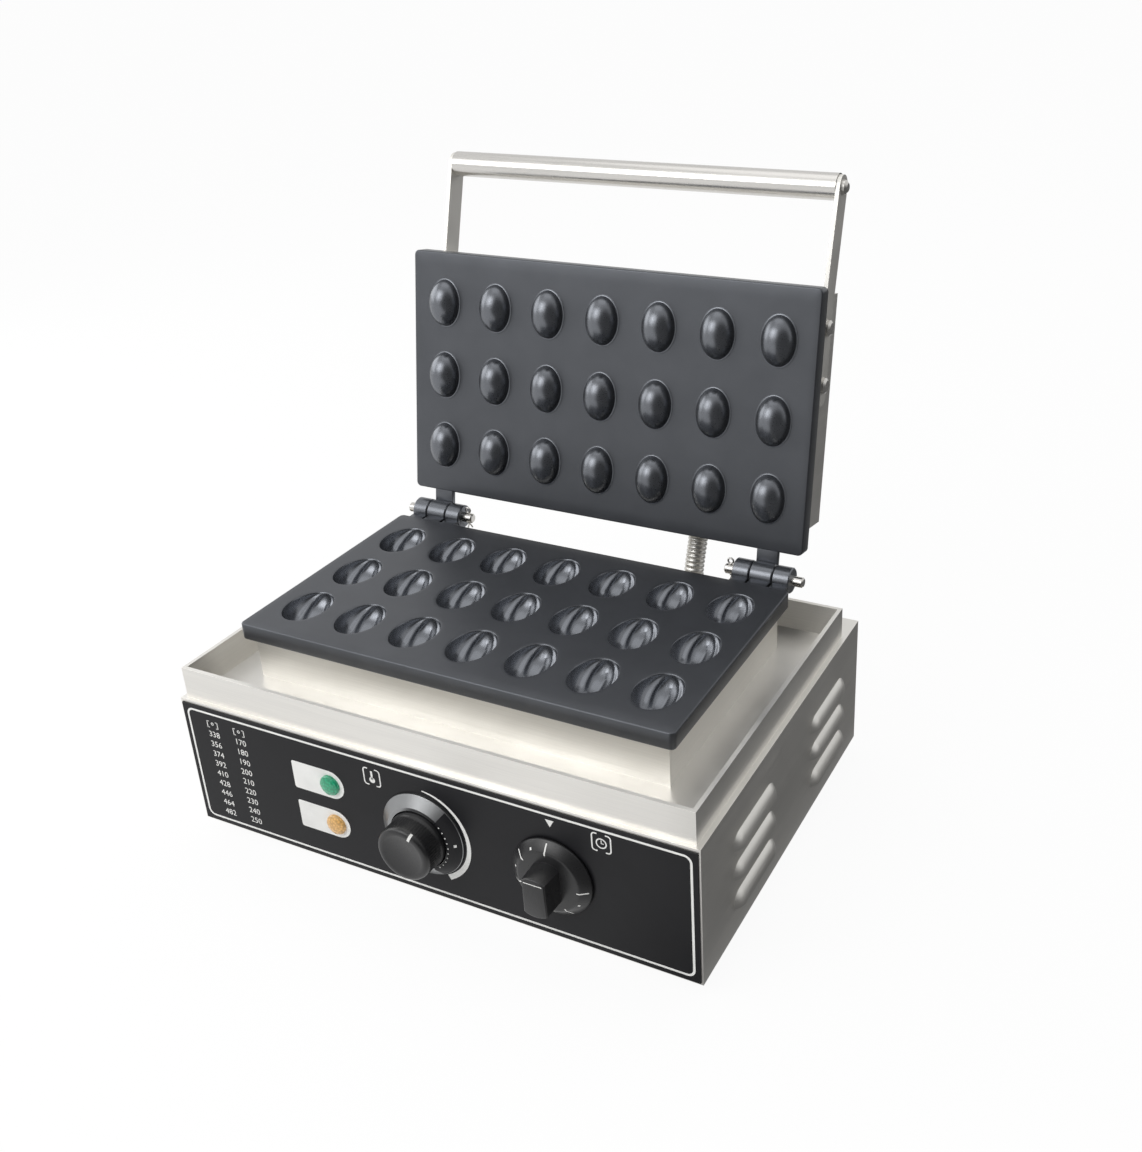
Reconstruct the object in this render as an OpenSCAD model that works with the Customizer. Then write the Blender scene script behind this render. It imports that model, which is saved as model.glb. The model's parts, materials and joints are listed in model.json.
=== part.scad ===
// Countertop maker for walnut shaped cookies: a steel housing, a tray, two hinged mould plates and a handle.
// Millimetres, +Z up, the front faces -Y. The lid is drawn open.

/* [Placement] */
// Middle of the housing, front to back, measured from the origin
house_y = -20; // [-60:1:40]

/* [Housing] */
// Width of the housing
body_w = 420; // [400:1:480]
// Depth of the housing
body_d = 300; // [290:1:360]
// Height of the housing from its underside to the ledge
box_h = 109; // [100:1:140]
// Thickness of the folded steel sheet
sheet_t = 1.2; // [0.8:0.1:1.6]
// Width of the inward folds that hold the rear panel and the base plate
fold_w = 14; // [11:1:18]
// Gap around a loose sheet that fits between two walls
sheet_gap = 0.3; // [0.1:0.1:0.6]

/* [Feet] */
// Height of a rubber foot
foot_h = 10; // [8:1:20]
// Diameter of a rubber foot
foot_d = 26; // [22:1:32]
// Distance of a foot's middle from the housing's sides
foot_inset = 40; // [32:1:60]

/* [Louvres] */
// Length of one louvre
louvre_l = 72; // [50:1:80]
// Height of one louvre's hood
louvre_h = 11; // [8:0.5:13]
// How far a hood stands out of the side
louvre_out = 5; // [3:0.5:6]
// Louvres in one group
louvre_n = 3; // [2:1:3]
// Step from one louvre up to the next
louvre_step = 24; // [18:1:28]
// Height of the lowest louvre's mouth above the housing's underside
louvre_z = 22; // [16:1:28]
// Middle of the front group, from the middle of the side
louvre_front = 64; // [50:1:80]
// Middle of the rear group, from the middle of the side
louvre_rear = 80; // [60:1:84]

/* [Tray] */
// Width of the ledge at the front and the sides
ledge_w = 4; // [3:0.5:10]
// Width of the ledge at the back
back_ledge = 28; // [27:1:36]
// Height of the upstand above the ledge
upstand_h = 25; // [16:1:30]
// Flat width of the rim
rim_w = 3; // [2:0.5:6]
// Run of the basin's sloped walls
slope_w = 6; // [3:0.5:12]
// Height of the basin's floor above the ledge
floor_up = 4; // [2:0.5:8]

/* [Mould plates] */
// Width of both plates
plate_w = 352; // [346:1:366]
// Depth of both plates, front to back
plate_d = 200; // [194:1:208]
// Radius of a plate's corners
plate_corner = 4; // [1:0.5:8]
// Inset of the box that carries the lower plate, from the plate's edge
box_inset = 7; // [4:0.5:9]
// Thickness of a plate at its edge
edge_t = 13; // [12.5:0.5:16]
// Thickness of a plate's core
core_t = 22; // [19:0.5:26]
// Clearance between a core and the cover that fits round it
core_gap = 0.8; // [0.4:0.1:2]
// Height of the lower plate's face above the ledge
plate_lift = 51; // [48:1:60]
// Distance from the housing's back to the plates' rear edge
plate_back = 62; // [58:1:68]
// Gap between the two faces with the lid down
face_gap = 0.8; // [0.4:0.1:2]
// Moulds along a row
cols = 7; // [3:2:7]
// Rows of moulds
rows = 3; // [1:2:3]
// Step from mould to mould along a row
pitch_x = 48.5; // [40:0.5:49]
// Step from row to row
pitch_y = 59.5; // [48:0.5:61]
// Width of one cavity
cavity_w = 33; // [28:0.5:36]
// Length of one cavity
cavity_l = 44; // [38:0.5:46]
// Thickness of the baked shell between a dome and its cavity
shell_t = 3.2; // [2:0.1:5]
// Diameter of the spigot that holds a dome in the upper plate
spigot_d = 8; // [6:0.5:10]
// Length of a dome's spigot
spigot_l = 5; // [4:0.5:6]

/* [Hinges] */
// Hinge axis behind the plates' rear edge
hinge_back = 19; // [15:0.5:22]
// Hinge axis below the lower plate's face
axis_drop = 2; // [0:0.5:3]
// Diameter of a knuckle
knuckle_d = 20; // [17:0.5:22]
// Diameter of a hinge pin
pin_d = 8; // [6:0.5:9]
// Length of a lid knuckle, between two lower knuckles
knuckle_mid = 18; // [14:1:22]
// Length of a lower knuckle
knuckle_end = 13.5; // [10:0.5:15]
// Gap from knuckle to knuckle along the pin
knuckle_gap = 0.5; // [0.3:0.1:1]
// Distance of each hinge's middle from the centre line
hinge_x = 148; // [120:1:150]
// Length of pin that stands out at each end of a hinge
pin_out = 9; // [8:0.5:12]
// Wire diameter of a split pin
split_d = 2; // [1.6:0.1:2.4]
// Opening angle of the lid from its closed place
open_angle = 100; // [92:1:108]
// Radial running clearance of pins and shafts
fit = 0.05; // [0.02:0.01:0.09]
// Gap left at the lid's open stop
stop_gap = 0.3; // [0.2:0.1:0.6]
// Height of the stop heel under the lid knuckle
heel_h = 8; // [5:0.5:9]

/* [Lid cover] */
// Inset of the cover from the plate's edge
cover_inset = 10; // [7:0.5:14]
// Height of the cover's walls
cover_h = 51; // [42:1:60]

/* [Handle] */
// Width of a flat handle arm
arm_w = 18; // [14:1:20]
// Thickness of a handle arm
arm_t = 3; // [2:0.5:5]
// Diameter of the handle bar
bar_d = 20; // [16:1:26]
// Wall of the handle bar's tube
bar_wall = 1.5; // [1:0.5:3]
// Length of the plug in each end of the bar
bar_plug = 12; // [10:1:20]
// Bar's middle in front of the plate's front edge
bar_reach = 68; // [50:1:90]
// Bar's middle above the upper plate's face, lid down
bar_lift = 48; // [40:1:60]
// Arm's fixed end above the upper plate's face, lid down
arm_lift = 37; // [34:0.5:40]
// Arm's end behind the plate's front edge
arm_back = 92; // [86:1:110]
// Arm's bend behind the plate's front edge
arm_bend = 22; // [16:1:28]
// First bolt behind the plate's front edge
bolt_first = 33; // [29:1:36]
// Step to the second bolt
bolt_step = 43; // [30:1:46]

/* [Heaters] */
// Diameter of a tubular heater
heater_d = 8; // [6:0.5:9]
// Step between two runs of a heater
run_step = 40; // [34:1:44]
// Clearance between a heater's bends and the side edges of its plate's core
run_margin = 10; // [8:1:24]
// Radius of the bend at a heater's terminal
leg_r = 12; // [10:1:14]
// Clearance between heater, core and clamp
heater_gap = 0.2; // [0.1:0.1:0.5]
// Length of a terminal leg below the tray's floor
leg_below = 20; // [12:1:30]
// Width of a clamp strip
clamp_w = 14; // [10:1:18]
// Thickness of a clamp strip
clamp_t = 2; // [1.5:0.5:3]
// Distance between clamp strips
clamp_step = 80; // [60:1:90]

/* [Posts and screws] */
// Diameter of a spacer post
post_d = 10; // [8:0.5:12]
// Diameter of a post's studs
stud_d = 5; // [4:0.5:6]
// Post axis inside the core's side edges
post_in_x = 9; // [7:0.5:14]
// Post axis inside the core's front and rear edges
post_in_y = 6.5; // [6.2:0.1:9]
// Depth of a tapped hole
tap_depth = 8; // [5:0.5:9]
// Diameter of the small screws
screw_d = 4; // [3:0.5:5]
// Diameter of the arm bolts and of the bar's end screws
bolt_d = 6; // [5:0.5:6]
// Gap round a screw in its hole
hole_gap = 0.2; // [0.1:0.05:0.4]

/* [Controls] */
// Thickness of the control panel
panel_t = 1; // [0.8:0.1:2]
// Margin from the control panel to the housing's edges
panel_edge = 1.5; // [1:0.5:6]
// Height of both knobs above the housing's underside
knob_z = 54; // [48:1:60]
// Thermostat's place from the centre line
thermostat_x = 1; // [-20:1:20]
// Timer's place from the centre line
timer_x = 104; // [90:1:130]
// Diameter of the thermostat's bezel
bezel_d = 66; // [58:1:72]
// Height of the thermostat's bezel
bezel_h = 7; // [5:0.5:10]
// Diameter of the thermostat's knob
knob_d = 44; // [38:1:46]
// Height of the thermostat's knob
knob_h = 26; // [20:1:30]
// Diameter of the timer knob's skirt
skirt_d = 60; // [52:1:66]
// Height of the timer knob's grip
grip_h = 26; // [20:1:32]
// Width of the timer knob's grip
grip_w = 19; // [15:1:22]
// Length of the timer knob's grip
grip_l = 32; // [28:1:44]
// Diameter of the control shafts
shaft_d = 6; // [5:0.5:7]
// Depth of the control bodies behind the front wall
control_depth = 32; // [26:1:44]
// Width of the control bodies
control_w = 46; // [42:1:52]
// Distance of a control's fixing screws from its shaft
control_screw = 14; // [12.5:0.5:16]
// Pilot lamps' place left of the centre line
lamp_x = 77; // [60:1:90]
// Distance between the two pilot lamps
lamp_step = 34.5; // [24:0.5:50]
// Diameter of a pilot lamp's lens
lamp_d = 16; // [14:1:20]

/* [Conduit] */
// Conduit's place right of the centre line
conduit_x = 75; // [20:1:100]
// Outer diameter of the conduit
conduit_d = 16; // [12:1:17]
// Bore of the conduit
conduit_bore = 10; // [6:1:10]
// Depth of the conduit's ribs
rib_depth = 1; // [0.5:0.25:1.5]
// Length of one rib
rib_step = 5; // [4:0.5:8]
// Diameter of a conduit gland
gland_d = 24; // [22:0.5:26]
// Height of a conduit gland
gland_h = 8; // [5:0.5:12]
// Conduit's place above the upper plate's face, lid down
conduit_lift = 36; // [34:0.5:40]
// Length of conduit inside the housing and inside the cover
conduit_in = 8; // [5:0.5:14]
// Diameter of the cord gland on the rear panel
cord_gland_d = 22; // [18:1:26]
// Bore of the cord gland
cord_bore = 8.4; // [7:0.1:10]
// Cord gland's distance from the housing's left side
cord_in = 70; // [50:1:110]
// Cord gland's height above the housing's underside
cord_z = 32; // [26:1:60]

/* [Hidden] */
$fn = 48;

// Colours
steel = [0.78, 0.77, 0.74];
bright = [0.86, 0.86, 0.86];
cast = [0.30, 0.32, 0.35];
black = [0.07, 0.07, 0.08];
white = [0.92, 0.91, 0.88];
brass = [0.75, 0.62, 0.32];

// Levels of the housing and the tray
z_box = foot_h;
z_ledge = foot_h + box_h;
z_rim = z_ledge + upstand_h;
z_under = z_ledge - sheet_t;
half_w = body_w / 2;
y_front = house_y - body_d / 2;
y_rear = house_y + body_d / 2;
y_wall = y_front + panel_t;
wall_in = half_w - sheet_t;

// Upstand and basin of the tray
up_x = half_w - ledge_w;
up_front = y_front + ledge_w;
up_rear = y_rear - back_ledge;
rim_x = up_x - rim_w;
rim_front = up_front + rim_w;
rim_rear = up_rear - rim_w;
z_floor = z_ledge + floor_up;
floor_under = z_floor - sheet_t;
basin_h = z_rim - z_floor;
slope_skin = sheet_t * sqrt(basin_h * basin_h + slope_w * slope_w) / basin_h;

// Mould plates, the upper one with the lid down
z_plate = z_ledge + plate_lift;
z_plate_core = z_plate - core_t;
z_face = z_plate + face_gap;
z_flange = z_face + edge_t;
z_core = z_face + core_t;
plate_x = plate_w / 2;
plate_rear = y_rear - plate_back;
plate_front = plate_rear - plate_d;
plate_mid = plate_rear - plate_d / 2;
core_inset = cover_inset + sheet_t + core_gap;
core_x = plate_x - core_inset;
core_y = plate_d / 2 - core_inset;
post_x = core_x - post_in_x;
post_y = core_y - post_in_y;
dome_r = cavity_w / 2 - shell_t;
dome_l = cavity_l / 2 - shell_t;
cavity_r = cavity_w / 2;
egg_lift = 0.5;

// Hinge
axis_y = plate_rear + hinge_back;
axis_z = z_plate - axis_drop;
hinge_half = knuckle_mid / 2 + knuckle_gap + knuckle_end;
web_top = knuckle_d / 2 - 2;
web_in = (knuckle_d + pin_d) / 4;

// Lid cover and handle, lid down
cover_x = plate_x - cover_inset;
cover_front = plate_front + cover_inset;
cover_rear = plate_rear - cover_inset;
z_cover = z_flange + cover_h;
bar_y = plate_front - bar_reach;
bar_z = z_face + bar_lift;
arm_z = z_face + arm_lift;
bolt_ys = [plate_front + bolt_first, plate_front + bolt_first + bolt_step];

// Heaters and clamps
heater_low_z = z_plate_core - heater_d / 2 - heater_gap;
heater_top_z = z_core + heater_d / 2 + heater_gap;
clamp_drop = heater_d + 2 * heater_gap;
clamp_xs = [-clamp_step, 0, clamp_step];
run_ys = [for (i = [0:3]) plate_mid + (i - 1.5) * run_step];
run_half = core_x - run_margin - run_step / 2 - heater_d / 2;
leg_x = -run_half - leg_r;
leg_ys = [run_ys[0], run_ys[3]];
bush_d = heater_d + 8;
bush_h = 3;
bulb_l = 62;
bulb_x = clamp_w / 2 - 20;
capillary_d = 2;
capillary_x = (bulb_x + bulb_l + clamp_step - clamp_w / 2) / 2;
capillary_gap = 0.2;

// Controls
thermostat_z = z_box + knob_z;
lamp_zs = [z_box + knob_z + lamp_step / 2, z_box + knob_z - lamp_step / 2];
wall_back = panel_t + sheet_t;
knob_base = 0.8;
knob_roof = 6;
shaft_in = 16;
knob_recess = 3.2;
hollow_r = control_screw + screw_d + 1;
lamp_body_d = lamp_d - 3.4;
lamp_body_l = 24;
lamp_nut_t = 3;
terminal_l = 64;
terminal_w = 24;
terminal_h = 20;
way_step = 15;
way_d = 6;
head_h = 0.6 * screw_d;

// Conduit from the rear ledge up into the hinge side of the lid cover
ledge_mid = y_rear - back_ledge / 2;
conduit_hole = conduit_d + 0.8;
conduit_z = z_face + conduit_lift;
cord_x = half_w - cord_in;

// Box between two corners
module box(x0, x1, y0, y1, z0, z1) {
    translate([x0, y0, z0]) cube([x1 - x0, y1 - y0, z1 - z0]);
}

// Round bar along X from x0 to x1
module bar_along_x(x0, x1, d) {
    translate([x0, 0, 0]) rotate([0, 90, 0]) cylinder(d = d, h = x1 - x0);
}

// Round bar along Y from y0 to y1
module bar_along_y(y0, y1, d) {
    translate([0, y0, 0]) rotate([-90, 0, 0]) cylinder(d = d, h = y1 - y0);
}

// Carries what is drawn with the lid down to the open lid
module open_lid() {
    translate([0, axis_y, axis_z]) rotate([-open_angle, 0, 0]) translate([0, -axis_y, -axis_z]) children();
}

// Place on the control panel's face: local Z points out of the panel, local Y is up
module on_panel(x, z) {
    translate([x, y_front, z]) rotate([90, 0, 0]) children();
}

// Pan head screw: its head above z = 0, its shank below
module pan_screw(d, shank) {
    translate([0, 0, -shank]) cylinder(d = d, h = shank);
    rotate_extrude() polygon([[0, 0], [d, 0], [d, 0.35 * d], [0.7 * d, 0.6 * d], [0, 0.6 * d]]);
}

// Slab with rounded corners, standing on z = 0
module round_slab(x, y0, y1, r, h) linear_extrude(h) {
    translate([r - x, y0]) square([2 * (x - r), y1 - y0]);
    translate([-x, y0 + r]) square([2 * x, y1 - y0 - 2 * r]);
    for (sx = [-1, 1], y = [y0 + r, y1 - r]) translate([sx * (x - r), y]) circle(r = r);
}

// Hexagon prism of a width across flats, standing on z = 0
module hexagon(flats, h) {
    rotate([0, 0, 30]) cylinder(d = flats / cos(30), h = h, $fn = 6);
}

// Half section of an egg, flat along its long axis
module half_egg(r, half_l) {
    steps = 14;
    polygon([for (i = [0:steps]) [r * sin(180 * i / steps), -half_l * cos(180 * i / steps)]]);
}

// Egg shaped body of revolution about Y
module egg(r, half_l) {
    rotate([-90, 0, 0]) rotate_extrude() half_egg(r, half_l);
}

// Repeats its children at every mould
module at_moulds(z) {
    for (i = [0:cols - 1], j = [0:rows - 1])
        translate([(i - (cols - 1) / 2) * pitch_x, plate_mid + (j - (rows - 1) / 2) * pitch_y, z]) children();
}

// Repeats its children at the four posts
module at_posts(z) {
    for (sx = [-1, 1], sy = [-1, 1]) translate([sx * post_x, plate_mid + sy * post_y, z]) children();
}

// Repeats its children at the clamp screws
module at_clamp_screws(z) {
    for (x = clamp_xs, sy = [-1, 1]) translate([x, plate_mid + sy * run_step, z]) children();
}

// Repeats its children at the two hinges, the right one first
module at_hinges() {
    for (sx = [1, -1]) translate([sx * hinge_x, axis_y, axis_z]) children();
}

// Repeats its children at the four feet
module at_feet(z) {
    for (sx = [-1, 1], sy = [-1, 1])
        translate([sx * (half_w - foot_inset), house_y + sy * (body_d / 2 - foot_inset), z]) children();
}

// Repeats its children at the rear panel's screws
module at_rear_screws() {
    for (sx = [-1, 1], k = [0.15, 0.5, 0.85])
        translate([sx * (wall_in - fold_w / 2 - 1), y_rear, z_box + k * box_h])
            rotate([-90, 0, 0]) children();
}

// Repeats its children at the base plate's screws
module at_base_screws() {
    for (sx = [-1, 1], sy = [-1, 1])
        translate([sx * (wall_in - fold_w / 2), house_y + sy * (body_d / 2 - foot_inset), z_box])
            rotate([180, 0, 0]) children();
}

// Repeats its children at the control bodies' fixing screws
module at_control_screws() {
    for (x = [thermostat_x, timer_x], sx = [-1, 1]) on_panel(x + sx * control_screw, thermostat_z) children();
}

// One louvre's pressed form on the right side: a capsule cut off at its mouth
module louvre(skin, inward) {
    centre_in = (louvre_h * louvre_h - louvre_out * louvre_out) / (2 * louvre_out);
    r = centre_in + louvre_out - skin;
    half = louvre_l / 2 - louvre_h;
    intersection() {
        translate([half_w - centre_in, 0, 0]) union() {
            bar_along_y(-half, half, 2 * r);
            for (s = [-1, 1]) translate([0, s * half, 0]) sphere(r = r);
        }
        box(half_w - inward, half_w + 2 * louvre_out, -louvre_l, louvre_l, 0, 2 * louvre_h);
    }
}

// Repeats its children at every louvre on both sides
module at_louvres() {
    for (m = [0, 1]) mirror([m, 0, 0])
        for (y = [-louvre_front, louvre_rear], i = [0:louvre_n - 1])
            translate([0, house_y + y, z_box + louvre_z + i * louvre_step]) children();
}

// Holes through the front wall or the control panel
module front_holes() {
    through = 2 * control_depth;
    for (z = lamp_zs) on_panel(-lamp_x, z)
        translate([0, 0, -through / 2]) cylinder(d = lamp_body_d + 3 * hole_gap, h = through);
    for (x = [thermostat_x, timer_x]) on_panel(x, thermostat_z)
        translate([0, 0, -through / 2]) cylinder(d = shaft_d + screw_d, h = through);
    at_control_screws() translate([0, 0, -through / 2]) cylinder(d = screw_d + 2 * hole_gap, h = through);
}

// Wrapped front and side walls with their folds and louvres
module casing() color(steel) difference() {
    union() {
        box(-half_w, half_w, y_wall, y_wall + sheet_t, z_box, z_under);
        for (m = [0, 1]) mirror([m, 0, 0]) {
            box(wall_in, half_w, y_wall, y_rear, z_box, z_under);
            box(wall_in - fold_w, half_w, y_rear - 2 * sheet_t, y_rear - sheet_t,
                z_box + 2 * sheet_t, z_under);
            box(wall_in - fold_w, half_w, y_wall, y_rear - sheet_t, z_box + sheet_t, z_box + 2 * sheet_t);
        }
        at_louvres() louvre(0, sheet_t / 2);
    }
    at_louvres() louvre(sheet_t, 3 * sheet_t);
    front_holes();
    at_rear_screws() translate([0, 0, -10]) cylinder(d = screw_d + 2 * hole_gap, h = 20);
    at_base_screws() translate([0, 0, -10]) cylinder(d = screw_d + 2 * hole_gap, h = 20);
}

// Sheet that closes the back, with the cord gland's hole
module rear_panel() color(steel) difference() {
    box(-wall_in + sheet_gap, wall_in - sheet_gap, y_rear - sheet_t, y_rear, z_box, z_under);
    at_rear_screws() translate([0, 0, -10]) cylinder(d = screw_d + 2 * hole_gap, h = 20);
    translate([-cord_x, 0, z_box + cord_z]) bar_along_y(y_rear - 10, y_rear + 10, cord_gland_d - 8);
}

module rear_screws() color(bright) at_rear_screws() pan_screw(screw_d, 2 * sheet_t + 5);

// Vented sheet that closes the underside
module base_plate() color(steel) difference() {
    box(-wall_in + sheet_gap, wall_in - sheet_gap, y_wall + sheet_t + sheet_gap,
        y_rear - sheet_t - sheet_gap, z_box, z_box + sheet_t);
    at_base_screws() translate([0, 0, -10]) cylinder(d = screw_d + 2 * hole_gap, h = 20);
    at_feet(z_box - 10) cylinder(d = screw_d + 2 * hole_gap, h = 20);
    slot_l = body_d / 5;
    for (i = [-4:4]) box(i * 14 - 3, i * 14 + 3, house_y - slot_l / 2, house_y + slot_l / 2, 0, z_box + 10);
}

module base_screws() color(bright) at_base_screws() pan_screw(screw_d, 2 * sheet_t + 5);

// Rubber foot with a wider top and a countersunk middle
module foot(sx, sy) color(black)
    translate([sx * (half_w - foot_inset), house_y + sy * (body_d / 2 - foot_inset), 0]) difference() {
        rotate_extrude() polygon([[0, 0], [foot_d / 2 - 3, 0], [foot_d / 2 - 2, 1],
            [foot_d / 2, foot_h], [0, foot_h]]);
        translate([0, 0, -1]) cylinder(d = screw_d + 2 * hole_gap, h = foot_h + 2);
        translate([0, 0, -1]) cylinder(d = 2 * screw_d + 1, h = foot_h / 2 + 1);
    }

module foot_front_left() foot(-1, -1);
module foot_front_right() foot(1, -1);
module foot_rear_left() foot(-1, 1);
module foot_rear_right() foot(1, 1);

module foot_screws() color(bright) at_feet(foot_h / 2) rotate([180, 0, 0])
    pan_screw(screw_d, foot_h / 2 + sheet_t + screw_d);

// Room inside the basin; grown by the sheet it is the tray's underside
module basin(down, out) {
    x1 = rim_x + out;
    x0 = x1 - slope_w;
    f1 = rim_front - out;
    r1 = rim_rear + out;
    z0 = z_floor - down;
    top = z_rim + 5;
    intersection() {
        translate([0, y_rear + 5, 0]) rotate([90, 0, 0]) linear_extrude(body_d + 10)
            polygon([[-x0, z0], [x0, z0], [x1, z_rim], [x1, top], [-x1, top], [-x1, z_rim]]);
        translate([-half_w, 0, 0]) rotate([90, 0, 90]) linear_extrude(body_w)
            polygon([[f1 + slope_w, z0], [r1 - slope_w, z0], [r1, z_rim], [r1, top], [f1, top], [f1, z_rim]]);
    }
}

// Tray: a ledge on the housing's walls, an upstand, a rim and a sloped basin, all of one sheet
module top_tray() color(steel) difference() {
    union() {
        box(-half_w, half_w, y_wall, y_rear, z_under, z_ledge);
        box(-up_x, up_x, up_front, up_rear, z_under, z_rim);
    }
    basin(0, 0);
    difference() {
        box(-up_x + sheet_t, up_x - sheet_t, up_front + sheet_t, up_rear - sheet_t,
            z_under - 1, z_rim - sheet_t);
        basin(sheet_t, slope_skin);
    }
    at_posts(floor_under - 1) cylinder(d = stud_d + 2 * hole_gap, h = sheet_t + 2);
    for (y = leg_ys) translate([leg_x, y, floor_under - 1])
        cylinder(d = heater_d + 4 + 2 * hole_gap, h = sheet_t + 2);
    translate([capillary_x, plate_mid, floor_under - 1]) cylinder(d = 4 * capillary_d, h = sheet_t + 2);
    translate([conduit_x, ledge_mid, z_under - 1]) cylinder(d = conduit_hole, h = sheet_t + 2);
}

// Black control panel on the front wall
module control_panel() color(black) difference() {
    box(-half_w + panel_edge, half_w - panel_edge, y_front, y_wall, z_box + panel_edge, z_under - panel_edge);
    front_holes();
}

// Domed pilot lamp lens with a flat flange
module lamp_lens(z) on_panel(-lamp_x, z) rotate_extrude() {
    r = lamp_d / 2;
    polygon([[0, 0], [r, 0], [r, 1.6], [0.92 * r, 2.6], [0.7 * r, 3.6], [0.4 * r, 4.2], [0, 4.4]]);
}

// Lamp body behind its lens, with the nut that pulls it against the front wall
module lamp_holder(z) on_panel(-lamp_x, z) {
    translate([0, 0, -lamp_body_l]) cylinder(d = lamp_body_d, h = lamp_body_l);
    translate([0, 0, -wall_back - lamp_nut_t]) hexagon(lamp_body_d + 5, lamp_nut_t);
}

module power_lamp_lens() color([0.05, 0.6, 0.4]) lamp_lens(lamp_zs[0]);
module power_lamp_holder() color(white) lamp_holder(lamp_zs[0]);
module heat_lamp_lens() color([0.95, 0.65, 0.2]) lamp_lens(lamp_zs[1]);
module heat_lamp_holder() color(white) lamp_holder(lamp_zs[1]);

// Control body behind the front wall, with a bore for its shaft and tapped holes for its screws
module control_body(x, depth) on_panel(x, thermostat_z) difference() {
    box(-control_w / 2, control_w / 2, -control_w / 2 + 3, control_w / 2 - 3, -wall_back - depth, -wall_back);
    translate([0, 0, -wall_back - shaft_in]) cylinder(d = shaft_d + 2 * fit, h = shaft_in + 1);
    for (s = [-1, 1]) translate([s * control_screw, 0, -wall_back - tap_depth - 1])
        cylinder(d = screw_d + 2 * hole_gap, h = tap_depth + 2);
}

// Shaft from inside its control body into its knob
module control_shaft(x, top) on_panel(x, thermostat_z)
    translate([0, 0, -wall_back - shaft_in + 0.5])
        cylinder(d = shaft_d, h = wall_back + shaft_in - 0.5 + top - knob_roof);

module control_screws() color(bright) at_control_screws() pan_screw(screw_d, wall_back + tap_depth - 1);

module thermostat_body() color(white) control_body(thermostat_x, control_depth);
module thermostat_shaft() color(bright) control_shaft(thermostat_x, knob_h);

// Conical ring round the thermostat's knob
module thermostat_bezel() color(steel) on_panel(thermostat_x, thermostat_z) rotate_extrude() {
    r0 = knob_d / 2 + 1;
    r1 = bezel_d / 2;
    polygon([[r0, 0], [r1, 0], [r1, 1.5], [r0 + 2.5, bezel_h], [r0, bezel_h]]);
}

// Round knob with a chamfered, dished face
module thermostat_knob() color(black) on_panel(thermostat_x, thermostat_z) difference() {
    r = knob_d / 2;
    rotate_extrude() polygon([[0, knob_recess], [hollow_r, knob_recess], [hollow_r, knob_base],
        [r, knob_base], [r - 1, knob_h - 3], [r - 3.5, knob_h],
        [r - 6, knob_h], [r - 9, knob_h - 1.2], [0, knob_h - 1.2]]);
    cylinder(d = shaft_d + 2 * fit, h = knob_h - knob_roof + 0.3);
}

module timer_body() color(white) control_body(timer_x, control_depth);
module timer_shaft() color(bright) control_shaft(timer_x, grip_h);

// Skirted knob with a wedge shaped grip across its middle
module timer_knob() color(black) on_panel(timer_x, thermostat_z) difference() {
    r = skirt_d / 2;
    skirt_h = 8;
    union() {
        rotate_extrude() polygon([[0, knob_recess], [hollow_r, knob_recess], [hollow_r, knob_base],
            [r, knob_base], [r, 2.6], [r - 6.5, skirt_h], [0, skirt_h]]);
        intersection() {
            translate([0, r, 0]) rotate([90, 0, 0]) linear_extrude(skirt_d)
                polygon([[-grip_w / 2 - 3, skirt_h - 1], [grip_w / 2 + 3, skirt_h - 1],
                    [grip_w / 2 - 2, grip_h], [-grip_w / 2 + 2, grip_h]]);
            cylinder(d = grip_l, h = grip_h + 1);
        }
    }
    cylinder(d = shaft_d + 2 * fit, h = grip_h - knob_roof + 0.3);
}

// Terminal block on the base plate
module terminal_block() color(white)
    translate([-body_w / 4, house_y + body_d / 4, z_box + sheet_t]) difference() {
        box(-terminal_l / 2, terminal_l / 2, -terminal_w / 2, terminal_w / 2, 0, terminal_h);
        for (i = [-1.5:1.5], s = [-1, 1]) translate([i * way_step, s * terminal_w / 4, 0.4 * terminal_h])
            cylinder(d = way_d, h = terminal_h);
    }

// Cast slab and core of a mould plate, drawn with its face on z = 0 and its core upwards
module plate_blank() {
    round_slab(plate_x, plate_front, plate_rear, plate_corner, edge_t);
    box(-core_x, core_x, plate_mid - core_y, plate_mid + core_y, 0, core_t);
}

// Tapped holes in a plate's core, on the same terms
module core_holes() {
    at_posts(core_t - tap_depth) cylinder(d = stud_d + 2 * hole_gap, h = tap_depth + 1);
    at_clamp_screws(core_t - tap_depth) cylinder(d = screw_d + 2 * hole_gap, h = tap_depth + 1);
}

// Lower plate: cavities in its face, two pairs of knuckles on its rear edge
module lower_plate() color(cast) difference() {
    union() {
        translate([0, 0, z_plate]) mirror([0, 0, 1]) plate_blank();
        at_hinges() for (s = [-1, 1]) {
            x0 = s > 0 ? knuckle_mid / 2 + knuckle_gap : -hinge_half;
            bar_along_x(x0, x0 + knuckle_end, knuckle_d);
            box(x0, x0 + knuckle_end, -hinge_back - 2, -web_in, axis_drop - edge_t, 0);
        }
    }
    at_moulds(z_plate + egg_lift) egg(cavity_r, cavity_l / 2);
    translate([0, 0, z_plate]) mirror([0, 0, 1]) core_holes();
    at_hinges() bar_along_x(-hinge_half - 1, hinge_half + 1, pin_d + 2 * fit);
}

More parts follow.
